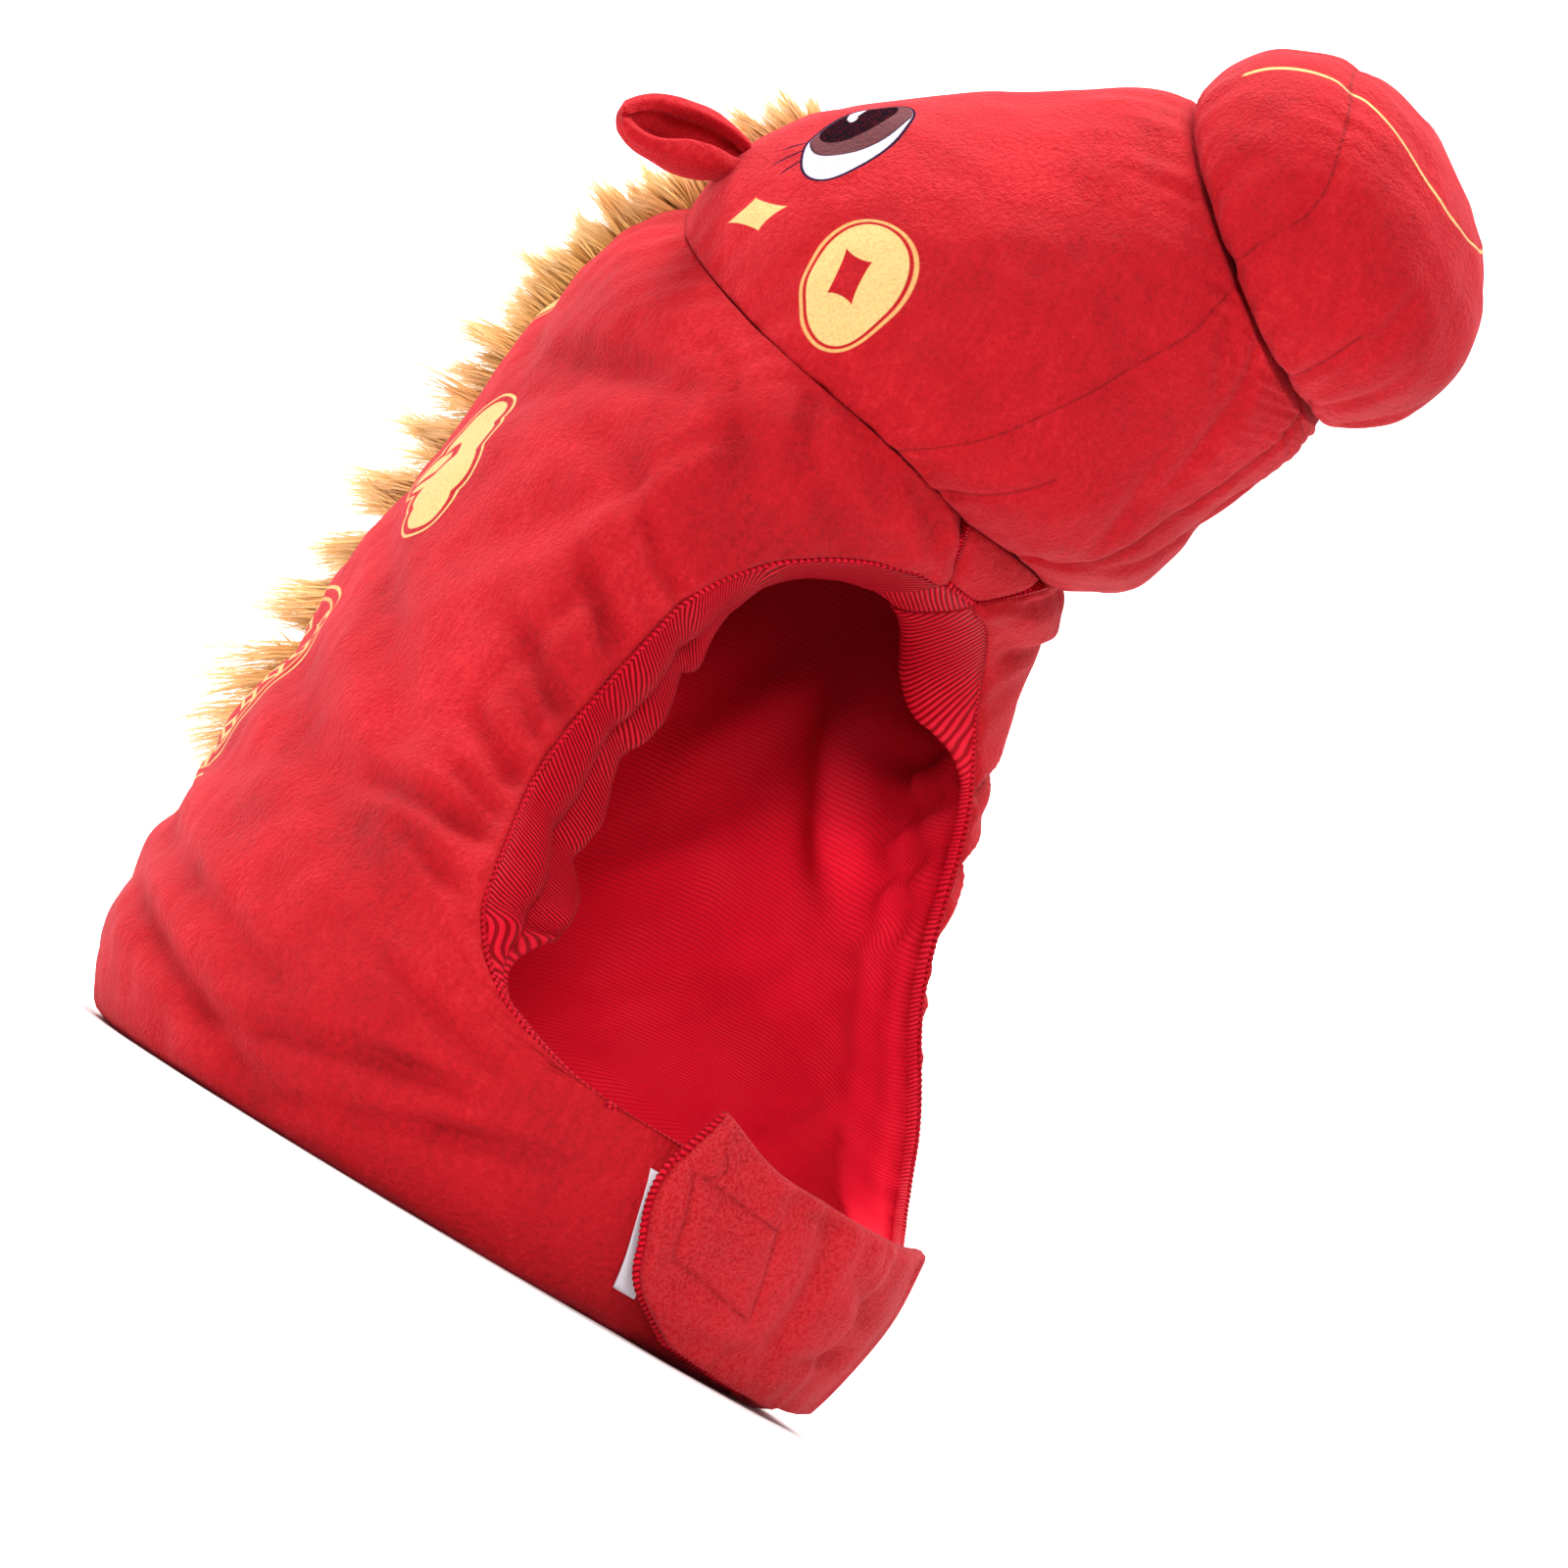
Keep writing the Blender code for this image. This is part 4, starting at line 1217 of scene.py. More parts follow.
def dome(depth, lift, steps, skip=1):
    """Rings over the wearer's head, from the seam loop in to the top, and the top point."""
    loop, _ = seam_loop(depth, skip)
    top = np.array((0.0, CEILING_FORWARD, CEILING_HEIGHT))
    share = np.asarray(steps)[:, None, None]
    rings = loop + (top - loop) * share
    rings[..., 2] = loop[:, 2] + (top[2] - loop[:, 2]) * np.sin(share[..., 0] * pi / 2)
    return rings + (0, 0, lift), top + (0, 0, lift)


# The lining

LINING_SLACK = 0.0030
LINING_THICKNESS = 0.0007
LINING_WELD = 0.0002
FOLD_SHOULDER = 0.6
LINING_OFF = 0.0006  # how far the lining stands off the padding at least
LINING_LUMPS = (0.0010, 0.03)  # height, size
LINING_GATHERS = (0.016, 0.030)  # pitch, reach
NEAR_GATHER, FAR_GATHER = 0.0018, 0.0005
LINING_CLEAR = (("low", 0.02), ("high", 0.015), ("back", 0.01), ("front", 0.006))
# Heights between which one part of the lining's edge becomes the next
LOOSE_STARTS = (0.066, 0.090)
LOOSE_ENDS = (0.196, 0.224)
BROW_STARTS = (0.196, 0.234)
ROLL_STARTS = (0.0562, 0.0600)
RIPPLE_ENDS = (0.236, 0.2415)
# Scallops, ripples and waves of the roll
SCALLOP, SCALLOP_PITCH, SCALLOP_START, SCALLOP_LESS = 0.26, 0.036, 0.8, 0.10
RIPPLE, RIPPLE_PITCH = 0.0003, 0.010
WAVE, WAVE_PITCH, WAVE_TURN = 0.0016, 0.034, 4
BAND_ROLL_DEPTH = 0.0010
BROW_PULL = 0.01  # how strongly the roll points down under the brow
# Shade painted into the lining's colour: in the dips of the far wall, up under the dome, on the rolls
# and on the brow flap
DIP_FROM, DIP_DEEP, DIP_SHADE, DIP_CLEAR = 0.0138, 0.0055, 0.5, 0.012
DOME_SHADE, DOME_SHADE_HEIGHTS = 0.9, (0.150, 0.225)
NEAR_ROLL_SHADE, FAR_ROLL_SHADE, BROW_ROLL_SHADE = 0.85, 0.60, 0.30
ROLL_SHADE_RISE = 2.5  # how quickly it sets in across the roll
BROW_SHADE_STATE, DOME_SHADE_STATE = 0.9, -1.0
SAG_WHOLE = 0.2  # share of the way up the dome at which it sags in full
# height, size, seed of the dome's sagging folds
DOME_SAG = (0.0016, 0.035, 91)
DOME_FOLDS = (0.0025, 0.05, 92)
DOME_RINGS = np.linspace(0, 0.96, 34)
# height, section angle, way, half_length, half_width, depth
LINING_FOLDS = (
    (0.215, 2.15, 65, 0.045, 0.010, 0.006),
    (0.185, 2.25, 80, 0.040, 0.006, 0.004),
    (0.160, 2.05, 25, 0.050, 0.007, 0.005),
    (0.135, 2.20, 10, 0.045, 0.006, 0.004),
    (0.120, 1.60, 35, 0.060, 0.010, 0.005),
    (0.100, 2.10, 20, 0.050, 0.007, 0.004),
    (0.075, 1.50, 15, 0.060, 0.009, 0.004),
    (0.085, 1.05, 40, 0.050, 0.009, 0.004),
    (0.175, 1.30, 50, 0.055, 0.009, 0.004),
    (0.230, 1.70, 40, 0.050, 0.008, 0.004),
    (0.045, 1.90, 10, 0.050, 0.006, 0.003),
    (0.250, 1.10, 30, 0.050, 0.009, 0.004),
)
# height 1, section angle 1, height 2, section angle 2, half_width, depth
FAR_CREASES = (
    (0.219, 2.50, 0.209, 1.60, 0.0064, 0.0046),
    (0.204, 2.42, 0.192, 1.56, 0.0066, 0.0050),
    (0.187, 2.32, 0.172, 1.56, 0.0060, 0.0042),
    (0.170, 2.26, 0.158, 1.70, 0.0052, 0.0030),
    (0.148, 2.16, 0.140, 1.62, 0.0046, 0.0020),
    (0.200, 1.26, 0.158, 1.42, 0.0090, 0.0080),
    (0.204, 1.12, 0.161, 0.95, 0.0100, 0.0046),
    (0.117, 0.86, 0.145, 1.10, 0.0070, 0.0030),
    (0.087, 0.90, 0.124, 1.28, 0.0075, 0.0030),
    (0.076, 1.08, 0.119, 1.40, 0.0065, 0.0028),
    (0.062, 1.50, 0.092, 1.75, 0.0070, 0.0026),
)
# Roll of the lining over the edge of the opening: share of its width, distance ahead, depth
NEAR_ROLL = (
    (0.00, 0.0000, 0.0143),
    (0.12, 0.0060, 0.0240),
    (0.26, 0.0140, 0.0290),
    (0.38, 0.0190, 0.0270),
    (0.48, 0.0198, 0.0225),
    (0.56, 0.0150, 0.0190),
    (0.64, 0.0110, 0.0165),
    (0.76, 0.0112, 0.0112),
    (0.88, 0.0085, 0.0058),
    (1.00, 0.0006, 0.0012),
)
FAR_ROLL = (
    (0.00, 0.0000, 0.0052),
    (0.26, 0.0006, 0.0050),
    (0.48, 0.0009, 0.0042),
    (0.66, 0.0010, 0.0034),
    (0.80, 0.0009, 0.0028),
    (0.90, 0.0007, 0.0024),
    (1.00, 0.0004, 0.0020),
)
BROW_ROLL = (
    (0.00, 0.0000, 0.0143),
    (0.12, 0.0040, 0.0200),
    (0.26, 0.0110, 0.0235),
    (0.38, 0.0180, 0.0232),
    (0.48, 0.0215, 0.0205),
    (0.56, 0.0218, 0.0172),
    (0.66, 0.0190, 0.0128),
    (0.78, 0.0135, 0.0080),
    (0.90, 0.0068, 0.0036),
    (1.00, 0.0005, 0.0010),
)
ROLL_SHARES = np.linspace(0, 1, ROLL_STEPS + 1)[1:]


def loose_wall(points, heights, angles, flip, seed):
    """How far one half of the lining hangs off the padding, and how much of its edge is rolled."""
    back, front, low, high = panel_lengths(points)
    corner_row = (len(front_edge(BAND_END)) - 1 - len(BROW_ROWS)) * ROW_STEPS
    rolled = smooth(heights[:, -1], *ROLL_STARTS) * (np.arange(len(heights)) <= corner_row)
    height, size = LINING_LUMPS
    slack = LINING_OFF + height * (1 + lumps(points, size, seed))
    gathered = puckers(low, front, *LINING_GATHERS, seed) * rolled[:, None]
    if flip:
        slack += LINING_SLACK + FAR_GATHER * gathered
        slack += crease_depth(angles * FOLD_RADIUS, heights, FAR_CREASES, FOLD_RADIUS)
    else:
        slack += NEAR_GATHER * gathered
        slack += fold_depth(LINING_FOLDS, heights, angles, shoulder=FOLD_SHOULDER)
    slack *= clear_of(dict(zip(EDGES, (back, front, low, high))), LINING_CLEAR)
    return np.maximum(slack, 0.0), rolled


def edge_roll(points, normals, heights, start, rolled, loose, brow, seed):
    """Rows of points of the roll, from the lining's wall round to the edge of the plush."""
    edge, edge_normal = points[:, -1], normals[:, -1]
    run, height = lengths_along(points, 0)[:, -1], heights[:, -1]
    on_side = (1 - brow)[:, None]
    ahead = (edge - points[:, -4]) * on_side + BROW_PULL * brow[:, None] * DOWN
    along = unit(np.gradient(edge, axis=0)) * on_side
    ahead = unit(less(less(ahead, edge_normal), along))
    share = ROLL_SHARES[:, None]
    tables = []
    for table in (NEAR_ROLL, FAR_ROLL, BROW_ROLL):
        tables.append(read(table, np.concatenate(([0.0], ROLL_SHARES)))[:, 1:, None])
    near, far, over = tables
    both = (near * loose + far * (1 - loose)) * (1 - brow) + over * brow
    first, (reach, sunk) = both[0, 1], np.moveaxis(both[1:], 1, 0)
    scallop = SCALLOP * np.abs(np.sin(run * pi / SCALLOP_PITCH + SCALLOP_START)) - SCALLOP_LESS
    ripple = RIPPLE * puckers(run, 0 * run, RIPPLE_PITCH, 1.0, seed + 3)
    ripple = ripple * (1 - smooth(height, *RIPPLE_ENDS))
    lobe = np.sin(pi * share)
    reach = (reach * (1 + loose * scallop) + ripple * lobe) * rolled
    sunk = sunk + (start - first) * (1 - share) ** 3
    sunk = sunk + WAVE * loose * lobe * np.sin(run * 2 * pi / WAVE_PITCH + WAVE_TURN * share)
    sunk = np.where(rolled > 0, sunk, LINING_DEPTH + (BAND_ROLL_DEPTH - LINING_DEPTH) * share)
    spots = edge - sunk[..., None] * edge_normal + reach[..., None] * ahead
    return spots.transpose(1, 0, 2)


def lining_side(band_end, flip, seed):
    """Lining of one half: rolled over the edge of the opening, then loose against the wall."""
    heights, angles = (grid[:, ::LINING_SKIP] for grid in side_panel(band_end))
    points, normals = hood_face(heights, angles)
    _, front, low, _ = panel_lengths(points)
    edge = heights[:, -1]
    loose = smooth(edge, *LOOSE_STARTS) * (1 - smooth(edge, *LOOSE_ENDS)) * (not flip)
    brow = smooth(edge, *BROW_STARTS)
    slack, rolled = loose_wall(points, heights, angles, flip, seed)
    thinner = edge_taper(heights, front)
    depth = LINING_DEPTH + slack - thinner
    inner = points - depth[..., None] * normals
    inner[:, 0, 0] = 0.0
    inner[0, :, 2] = LINING_EDGE
    roll = edge_roll(points, normals, heights, depth[:, -1], rolled, loose, brow, seed)
    grid = np.concatenate((inner, roll), axis=1)
    around = lengths_along(grid, 1)
    # Painted shade: in the far wall's dips and up under the dome, and on the rolls, where it also
    # deepens the ribs
    dip = np.clip((DIP_FROM + LINING_SLACK - depth - thinner) / DIP_DEEP, 0.0, 1.0)
    dip = DIP_SHADE * dip * smooth(front, 0.0, DIP_CLEAR) * flip
    wall_shade_state = -np.maximum(dip, DOME_SHADE * smooth(heights, *DOME_SHADE_HEIGHTS))
    shade = FAR_ROLL_SHADE if flip else NEAR_ROLL_SHADE
    roll_shade_state = np.maximum(loose, shade + BROW_ROLL_SHADE * brow)
    roll_shade_state = roll_shade_state[:, None] * np.minimum(1.0, ROLL_SHADE_RISE * ROLL_SHARES)
    up = np.concatenate((low, low[:, -1:] + 0 * roll_shade_state), axis=1)
    shade_state = np.concatenate((wall_shade_state, roll_shade_state), axis=1)
    return grid * (MIRROR if flip else 1.0), np.stack((around, up, shade_state), axis=-1)


def lining():
    """The whole lining in one cloth: both sides, the brow, and the dome over the head."""
    parts = []
    for band_end, flip, seed in ((-BAND_END, False, 71), (BAND_END, True, 81)):
        parts.append((*lining_side(band_end, flip, seed), not flip))
    points, normals = hood_face(*gusset())
    reach, sunk = read(BROW_ROLL, ROLL_SHARES[::-1])[:, 1:].T[..., None, None]
    edge = points[0] - sunk * normals[0] + reach * unit(less(DOWN, normals[0]))
    brow = np.concatenate((edge, points - LINING_DEPTH * normals))
    rings, _ = dome(LINING_DEPTH, 0.0, DOME_RINGS, LINING_SKIP)
    sag = DOME_SAG[0] + unevenness(rings, (DOME_SAG,)) + np.abs(unevenness(rings, (DOME_FOLDS,)))
    rings[..., 2] -= sag * smooth(DOME_RINGS, 0.0, SAG_WHOLE)[:, None]
    rings = np.concatenate((rings, rings[:, :1]), axis=1)
    # The brow flap and the dome get their painted shade
    for grid, shade_state in ((brow, BROW_SHADE_STATE), (rings, DOME_SHADE_STATE)):
        along, up = lengths_along(grid, 1), lengths_along(grid, 0)
        parts.append((grid, np.stack((along, up, shade_state + 0 * up), axis=-1), True))
    spots, cloths, faces, first = [], [], [], 0
    for grid, cloth, flip in parts:
        rows, columns = grid.shape[:2]
        spots.append(grid.reshape(-1, 3))
        cloths.append(cloth.reshape(-1, 3))
        faces.append(grid_faces(rows, columns, first=first, flip=flip))
        first += rows * columns
    spots.append(rings[-1:, :-1].mean(axis=1))
    cloths.append(np.zeros((1, 3)))
    cap = first - rings.shape[1] + np.arange(rings.shape[1] - 1)
    faces = list(np.concatenate(faces)) + [(a, a + 1, first) for a in cap]
    finish = tricot("tricot_lining", RIB, RIB_SLANT)
    made = make("lining_tricot", np.concatenate(spots), faces, finish, np.concatenate(cloths))
    thicken(made, LINING_THICKNESS, weld=LINING_WELD)
    hand_in(made, "lining")


# Ribbed rolls of lining along seams

# The piping takes the rolls' painted shade and their deeper ribs
PIPING_SHADE_STATE = 0.85
PIPING_TURNS = 12
PIPING_NOTCH = 0.0019
OPENING_PIPING = 0.0009
TAB_PIPING = 0.0014
BROW_PIPING = 0.0012
BROW_SEAM_DEPTH = 0.0026
BROW_EDGE_DEPTH = 0.0018
PIPING_DEPTH = 0.0017
PIPING_AHEAD = 0.0004
PIPING_HEIGHTS = (0.0566, 0.2425)
PIPING_RIDGE = 0.16  # share of the radius
PIPING_END = (-0.001, 0.002)
PIPING_ASIDE = (0.3, 0.2, 0.9)  # a direction that no seam runs along


def piping(name, line, radius, finish):
    """A thin ribbed roll of lining along a seam."""
    way = unit(np.gradient(line, axis=0))
    first = unit(np.cross(way, PIPING_ASIDE))
    second = np.cross(way, first)
    turn = np.linspace(0, 2 * pi, PIPING_TURNS + 1)[:-1]
    run = lengths_along(line, 0)
    size = radius * (1 + PIPING_RIDGE * np.sin(run * 2 * pi / PIPING_NOTCH))
    size *= smooth(run, *PIPING_END) * smooth(run[-1] - run, *PIPING_END)
    round_line = np.cos(turn)[:, None] * first[:, None] + np.sin(turn)[:, None] * second[:, None]
    grid = line[:, None] + size[:, None, None] * round_line
    cloth = np.broadcast_arrays(run[:, None], (radius * turn)[None], PIPING_SHADE_STATE)
    made = tube(name, grid, line[[0, -1]], finish, np.stack(cloth, axis=-1))
    hand_in(made)


def opening_piping(finish):
    """Ribbed seam roll round both sides of the opening, between plush and lining."""
    for side, band_end, change in (("right", -BAND_END, 1.0), ("left", BAND_END, MIRROR)):
        heights, angles = side_panel(band_end)
        points, normals = hood_face(heights, angles)
        ahead = unit(points[:, -1] - points[:, -4])
        edge = points[:, -1] - PIPING_DEPTH * normals[:, -1] + PIPING_AHEAD * ahead
        low, high = PIPING_HEIGHTS
        inside = (heights[:, -1] > low) & (heights[:, -1] < high)
        line = between(edge[inside], 6) * change
        piping("opening_piping_" + side, line, OPENING_PIPING, finish)


def brow_seam(finish):
    """The sewn seam round the brow gusset: down one side, along its lower edge and up the other."""
    line, out = (
        np.concatenate((grid[::-1, 0], grid[0, 1:-1], grid[:, -1])) for grid in hood_face(*gusset())
    )
    rows = len(gusset()[0])
    depth = np.full(len(line), BROW_SEAM_DEPTH)
    depth[rows:-rows] = BROW_EDGE_DEPTH
    depth = np.convolve(np.pad(depth, 3, mode="edge"), np.full(7, 1 / 7), mode="valid")
    line = (line - depth[:, None] * out)[2:-2]
    piping("brow_seam", between(line, 3), BROW_PIPING, finish)


# The stuffed head and muzzle. Seams: share of the way to the muzzle, section angle
CHEEK_SEAM = ((0.0, 2.33), (0.25, 2.33), (0.5, 2.32), (0.75, 2.25), (1.0, 2.06))
HEAD_DART = ((0.0, 2.80), (0.15, 2.78), (0.3, 2.70))
HEAD_DART_END = 0.27
HEAD_LENGTH = 0.145
UNPRINTED = (0.5, -0.1, 0.0)  # a place on the cloth that is far from every print
RIGHT_HALF = 200  # columns of a ring that hold all of its right half
# share of the way to the muzzle, section angle, way, half_length, half_width, depth
HEAD_FOLDS = (
    (0.86, 2.62, 120, 0.022, 0.0032, 0.0022),
    (0.78, 2.50, 132, 0.026, 0.0032, 0.0020),
    (0.70, 2.75, 115, 0.024, 0.0035, 0.0022),
    (0.90, 2.35, 140, 0.016, 0.0028, 0.0018),
    (0.55, 2.85, 108, 0.026, 0.0035, 0.0018),
    (0.92, 1.30, 165, 0.020, 0.0045, 0.0014),
    (0.06, 1.85, 98, 0.034, 0.0040, 0.0018),
    (0.14, 2.10, 105, 0.030, 0.0045, 0.0016),
    (0.10, 1.40, 95, 0.030, 0.0045, 0.0012),
    (0.30, 2.95, 125, 0.026, 0.0035, 0.0018),
    (0.45, 2.60, 150, 0.030, 0.0070, 0.0014),
)
HEAD_LUMPS = ((0.0008, 0.030, 105), (0.0003, 0.009, 106))  # height, size, seed
# height, seam, distance from it, reach, power
HEAD_RIDGES = (
    (-0.0008, "run", 0.0, 0.006, 1.3),
    (0.0016, "run", 0.018, 0.012, 2.0),
    (-0.0018, "left", 0.0, 0.005, 1.4),
    (0.0012, "left", 0.020, 0.012, 2.0),
    (-0.0010, "cheek", 0.0, 0.0022, 2.0),
    (-0.0016, "jaw", 0.0, 0.0022, 2.0),
    (-0.0011, "dart", 0.0, 0.0022, 2.0),
)
# height, along, seam, pitch, reach, seed, clear of the seam
HEAD_GATHERS = (
    (0.0006, "run", "jaw", 0.011, 0.016, 101, 0.003),
    (0.0004, "run", "cheek", 0.009, 0.010, 102, 0.0),
    (0.0010, "round", "left", 0.011, 0.012, 103, 0.003),
    (0.0011, "round", "run", 0.012, 0.010, 104, 0.003),
)


def head_ring(row, angles):
    """Ring of the head through a row of its table; angle 0 is the nose line, pi the jaw."""
    top, bottom = np.array((0.0, *row[:2])), np.array((0.0, *row[2:4]))
    side, length = oval(angles, row[5])
    centre, reach = (top + bottom) / 2, (bottom - top) / 2
    return centre + length[:, None] * reach - side[:, None] * row[4] * SIDEWAYS


def head_rings(rows):
    """Rings of the head from the seam to the muzzle, smooth along each line of points."""
    loop, angles = seam_loop(PINCH)
    known = np.array([loop + (0, 0, SEAM_GAP)] + [head_ring(row, angles) for row in HEAD])
    numbered = np.column_stack((np.arange(len(known)), known.reshape(len(known), -1)))
    at = np.linspace(0, len(known) - 1, rows)
    return read(numbered, at)[:, 1:].reshape(len(at), -1, 3), angles


def ring_measures(rings, angles, middle):
    """Outward directions, angles from the middle line, and lengths round closed rings."""
    down = np.gradient(rings, axis=0)
    out = unit(np.cross(down, np.roll(rings, -1, axis=1) - np.roll(rings, 1, axis=1)))
    out = out * np.sign(np.sum(out * (rings - middle), axis=-1, keepdims=True))
    angle = np.broadcast_to(np.where(angles > pi, 2 * pi - angles, angles), rings.shape[:2])
    around = lengths_along(rings, 1)
    total = around[:, -1:] + np.linalg.norm(rings[:, -1:] - rings[:, :1], axis=-1)
    return out, angle, around, total


def head_cloth():
    """The stuffed head: bulging between its seams, gathered at both ends."""
    rings, angles = head_rings(HEAD_ROWS)
    middle = rings.mean(axis=1, keepdims=True)
    out, angle, around, total = ring_measures(rings, angles, middle)
    shares = np.linspace(0, 1, HEAD_ROWS)
    share = np.broadcast_to(shares[:, None], rings.shape[:2])
    run = lengths_along(rings, 0)
    u = np.minimum(around, total - around)
    lines = []
    for table in (CHEEK_SEAM, HEAD_DART):
        at = read(table, shares)[:, 1]
        right = zip(at, angle[:, :RIGHT_HALF], u[:, :RIGHT_HALF])
        lines.append(u - np.array([np.interp(*row) for row in right])[:, None])
    cheek, jaw, dart = lines[0], around - total / 2, np.where(share < HEAD_DART_END, lines[1], FAR)
    off = {"run": run, "left": run[-1:] - run, "round": u, "cheek": cheek, "jaw": jaw, "dart": dart}
    swell = ridges(off, HEAD_RIDGES) + gathers(off, HEAD_GATHERS) + unevenness(rings, HEAD_LUMPS)
    swell -= fold_depth(HEAD_FOLDS, share, angle, total / (2 * pi), HEAD_LENGTH)
    outer = rings + swell[..., None] * out
    hollow, top = dome(LINING_DEPTH, 2 * GAP, DOME_STEPS)
    under = seam_loop(WALL)[0] + (0, 0, GAP)
    grid = np.concatenate((hollow[::-1], [under], outer))
    lead = len(grid) - HEAD_ROWS
    cloth, seams = np.full(grid.shape, UNPRINTED), np.full(grid.shape, FAR)
    cloth[lead:] = np.stack((u, run, 0 * u), axis=-1)
    seams[lead:] = np.stack((cheek, jaw, dart), axis=-1)
    finish = plush("plush_head", HEAD_PRINTS, (0, 1, 2))
    ends = [top, outer[-1].mean(axis=0)]
    made = tube("horse_head_plush", grid, ends, finish, cloth, seams, [UNPRINTED] * 2)
    hand_in(made, "horse_head")


# Seams of the muzzle: distance along its axis, section angle
SNOUT_SEAM = (
    (0.0000, 1.93),
    (0.0115, 1.86),
    (0.0314, 1.76),
    (0.0428, 1.50),
    (0.0500, 1.03),
    (0.0530, 0.00),
)
SNOUT_SEAM_END = 1.99
SNOUT_DART = ((0.0, 2.72), (0.012, 2.60), (0.024, 2.52), (0.030, 2.50))
SNOUT_DART_END = 0.031
SNOUT_DART_FADE = 0.032
SNOUT_DART_RIDGE = ((-0.0013, "dart", 0.0, 0.0022, 2.0),)
SNOUT_DART_SOFT = 0.004
SEAM_STEP = 0.02  # angle over which the side seam's slope is measured
MUZZLE_MIDDLE = 0.02  # along its axis
# distance along the axis, section angle, way, half_length, half_width, depth
MUZZLE_FOLDS = (
    (0.030, 1.75, 170, 0.016, 0.0030, 0.0016),
    (0.022, 1.95, 160, 0.014, 0.0030, 0.0014),
    (0.036, 2.55, 110, 0.018, 0.0032, 0.0016),
    (0.016, 2.95, 100, 0.018, 0.0032, 0.0014),
    (0.026, 2.30, 145, 0.014, 0.0030, 0.0012),
)
MUZZLE_LUMPS = ((0.0008, 0.028, 113), (0.0003, 0.009, 114))  # height, size, seed
# height, seam, distance from it, reach, power
MUZZLE_RIDGES = ((-0.0012, "joint", 0.0, 0.005, 1.3), (-0.0012, "seam", 0.0, 0.0022, 2.0))
# height, along, seam, pitch, reach, seed, clear of the seam
MUZZLE_GATHERS = (
    (0.0011, "round", "joint", 0.011, 0.012, 111, 0.004),
    (0.0005, "round", "seam", 0.010, 0.009, 112, 0.0),
)


def muzzle_cloth():
    """The stuffed muzzle, with its side seams, darts and the printed mouth line."""
    rings, angles = head_rings(3)
    last = rings[-1]
    centre = last.mean(axis=0)
    ahead, up = cos(MUZZLE_PITCH), sin(MUZZLE_PITCH)
    axis, down = np.array((0.0, ahead, up)), np.array((0.0, up, -ahead))
    along, share = between(MUZZLE, MUZZLE_STEPS).T[..., None]
    grid = centre + (last - centre) * share[..., None] + axis * along[..., None]
    out, angle, around, total = ring_measures(grid, angles, centre + axis * MUZZLE_MIDDLE)
    along = np.broadcast_to(along, angle.shape)
    u = np.minimum(around, total - around)
    run, radius = lengths_along(grid, 0), total / (2 * pi)
    table = between(SNOUT_SEAM, 8)[::-1].T[::-1]
    slope = np.interp(angle + SEAM_STEP, *table) - np.interp(angle - SEAM_STEP, *table)
    slope = slope / (2 * SEAM_STEP)
    seam = (along - np.interp(angle, *table)) / np.sqrt(1 + (slope / radius) ** 2)
    seam = np.where(angle < SNOUT_SEAM_END, seam, FAR)
    dart = (angle - np.interp(along, *zip(*SNOUT_DART))) * radius
    dart = np.where(along < SNOUT_DART_END, dart, FAR)
    off = {"joint": run, "seam": seam, "round": u}
    swell = ridges(off, MUZZLE_RIDGES) + gathers(off, MUZZLE_GATHERS)
    fade = smooth(SNOUT_DART_FADE - along, 0.0, SNOUT_DART_SOFT)
    swell += ridges({"dart": dart}, SNOUT_DART_RIDGE) * fade
    swell += unevenness(grid, MUZZLE_LUMPS)
    swell -= fold_depth(MUZZLE_FOLDS, along, angle, radius)
    cloth = np.stack((np.abs(grid[..., 0]), (grid - centre) @ down, along), axis=-1)
    seams = np.stack((seam, dart, FAR + 0 * u), axis=-1)
    finish = plush("plush_muzzle", MUZZLE_PRINTS, (0, 1))
    ends = [centre + axis * MUZZLE[0][0], centre + axis * MUZZLE_TIP]
    cloth_ends = [(0.0, 0.0, 0.0), (0.0, 0.0, MUZZLE_TIP)]
    outer = grid + swell[..., None] * out
    made = tube("muzzle_plush", outer, ends, finish, cloth, seams, cloth_ends)
    hand_in(made, "muzzle")


# The ears

EAR_ROWS = 64
EAR_ACROSS = 60
EAR_RIM = 4  # columns at each side of a face that are its rim
EAR_CURL = 2.45
EAR_ROOT = -0.010
EAR_SLIT_AXIS = (0.34, 0.54, 0.56)
EAR_WIDEN = 1.30
EAR_CREASE, EAR_CREASE_WIDTH, EAR_CREASE_END = 0.0016, 0.10, 0.034
EAR_PADDING = 1.05 * EAR_THICKNESS
EAR_BULGE, EAR_BULGE_AT, EAR_BULGE_WIDTH = 0.5, 0.84, 0.12  # of the rim
EAR_TIP = EAR[-1][0]
EAR_TIP_ROUND, EAR_TIP_PAST = 0.004, 0.0015
EAR_NECK = (EAR_ROOT - 0.016, 0.004)  # heights between which the base widens
EAR_OPENS, EAR_OPENS_AT = 0.35, (0.018, 0.040)  # share of the curl that the tip loses
EAR_CREASE_FADE = 0.012
EAR_LUMPS = ((0.0004, 0.008, 121),)


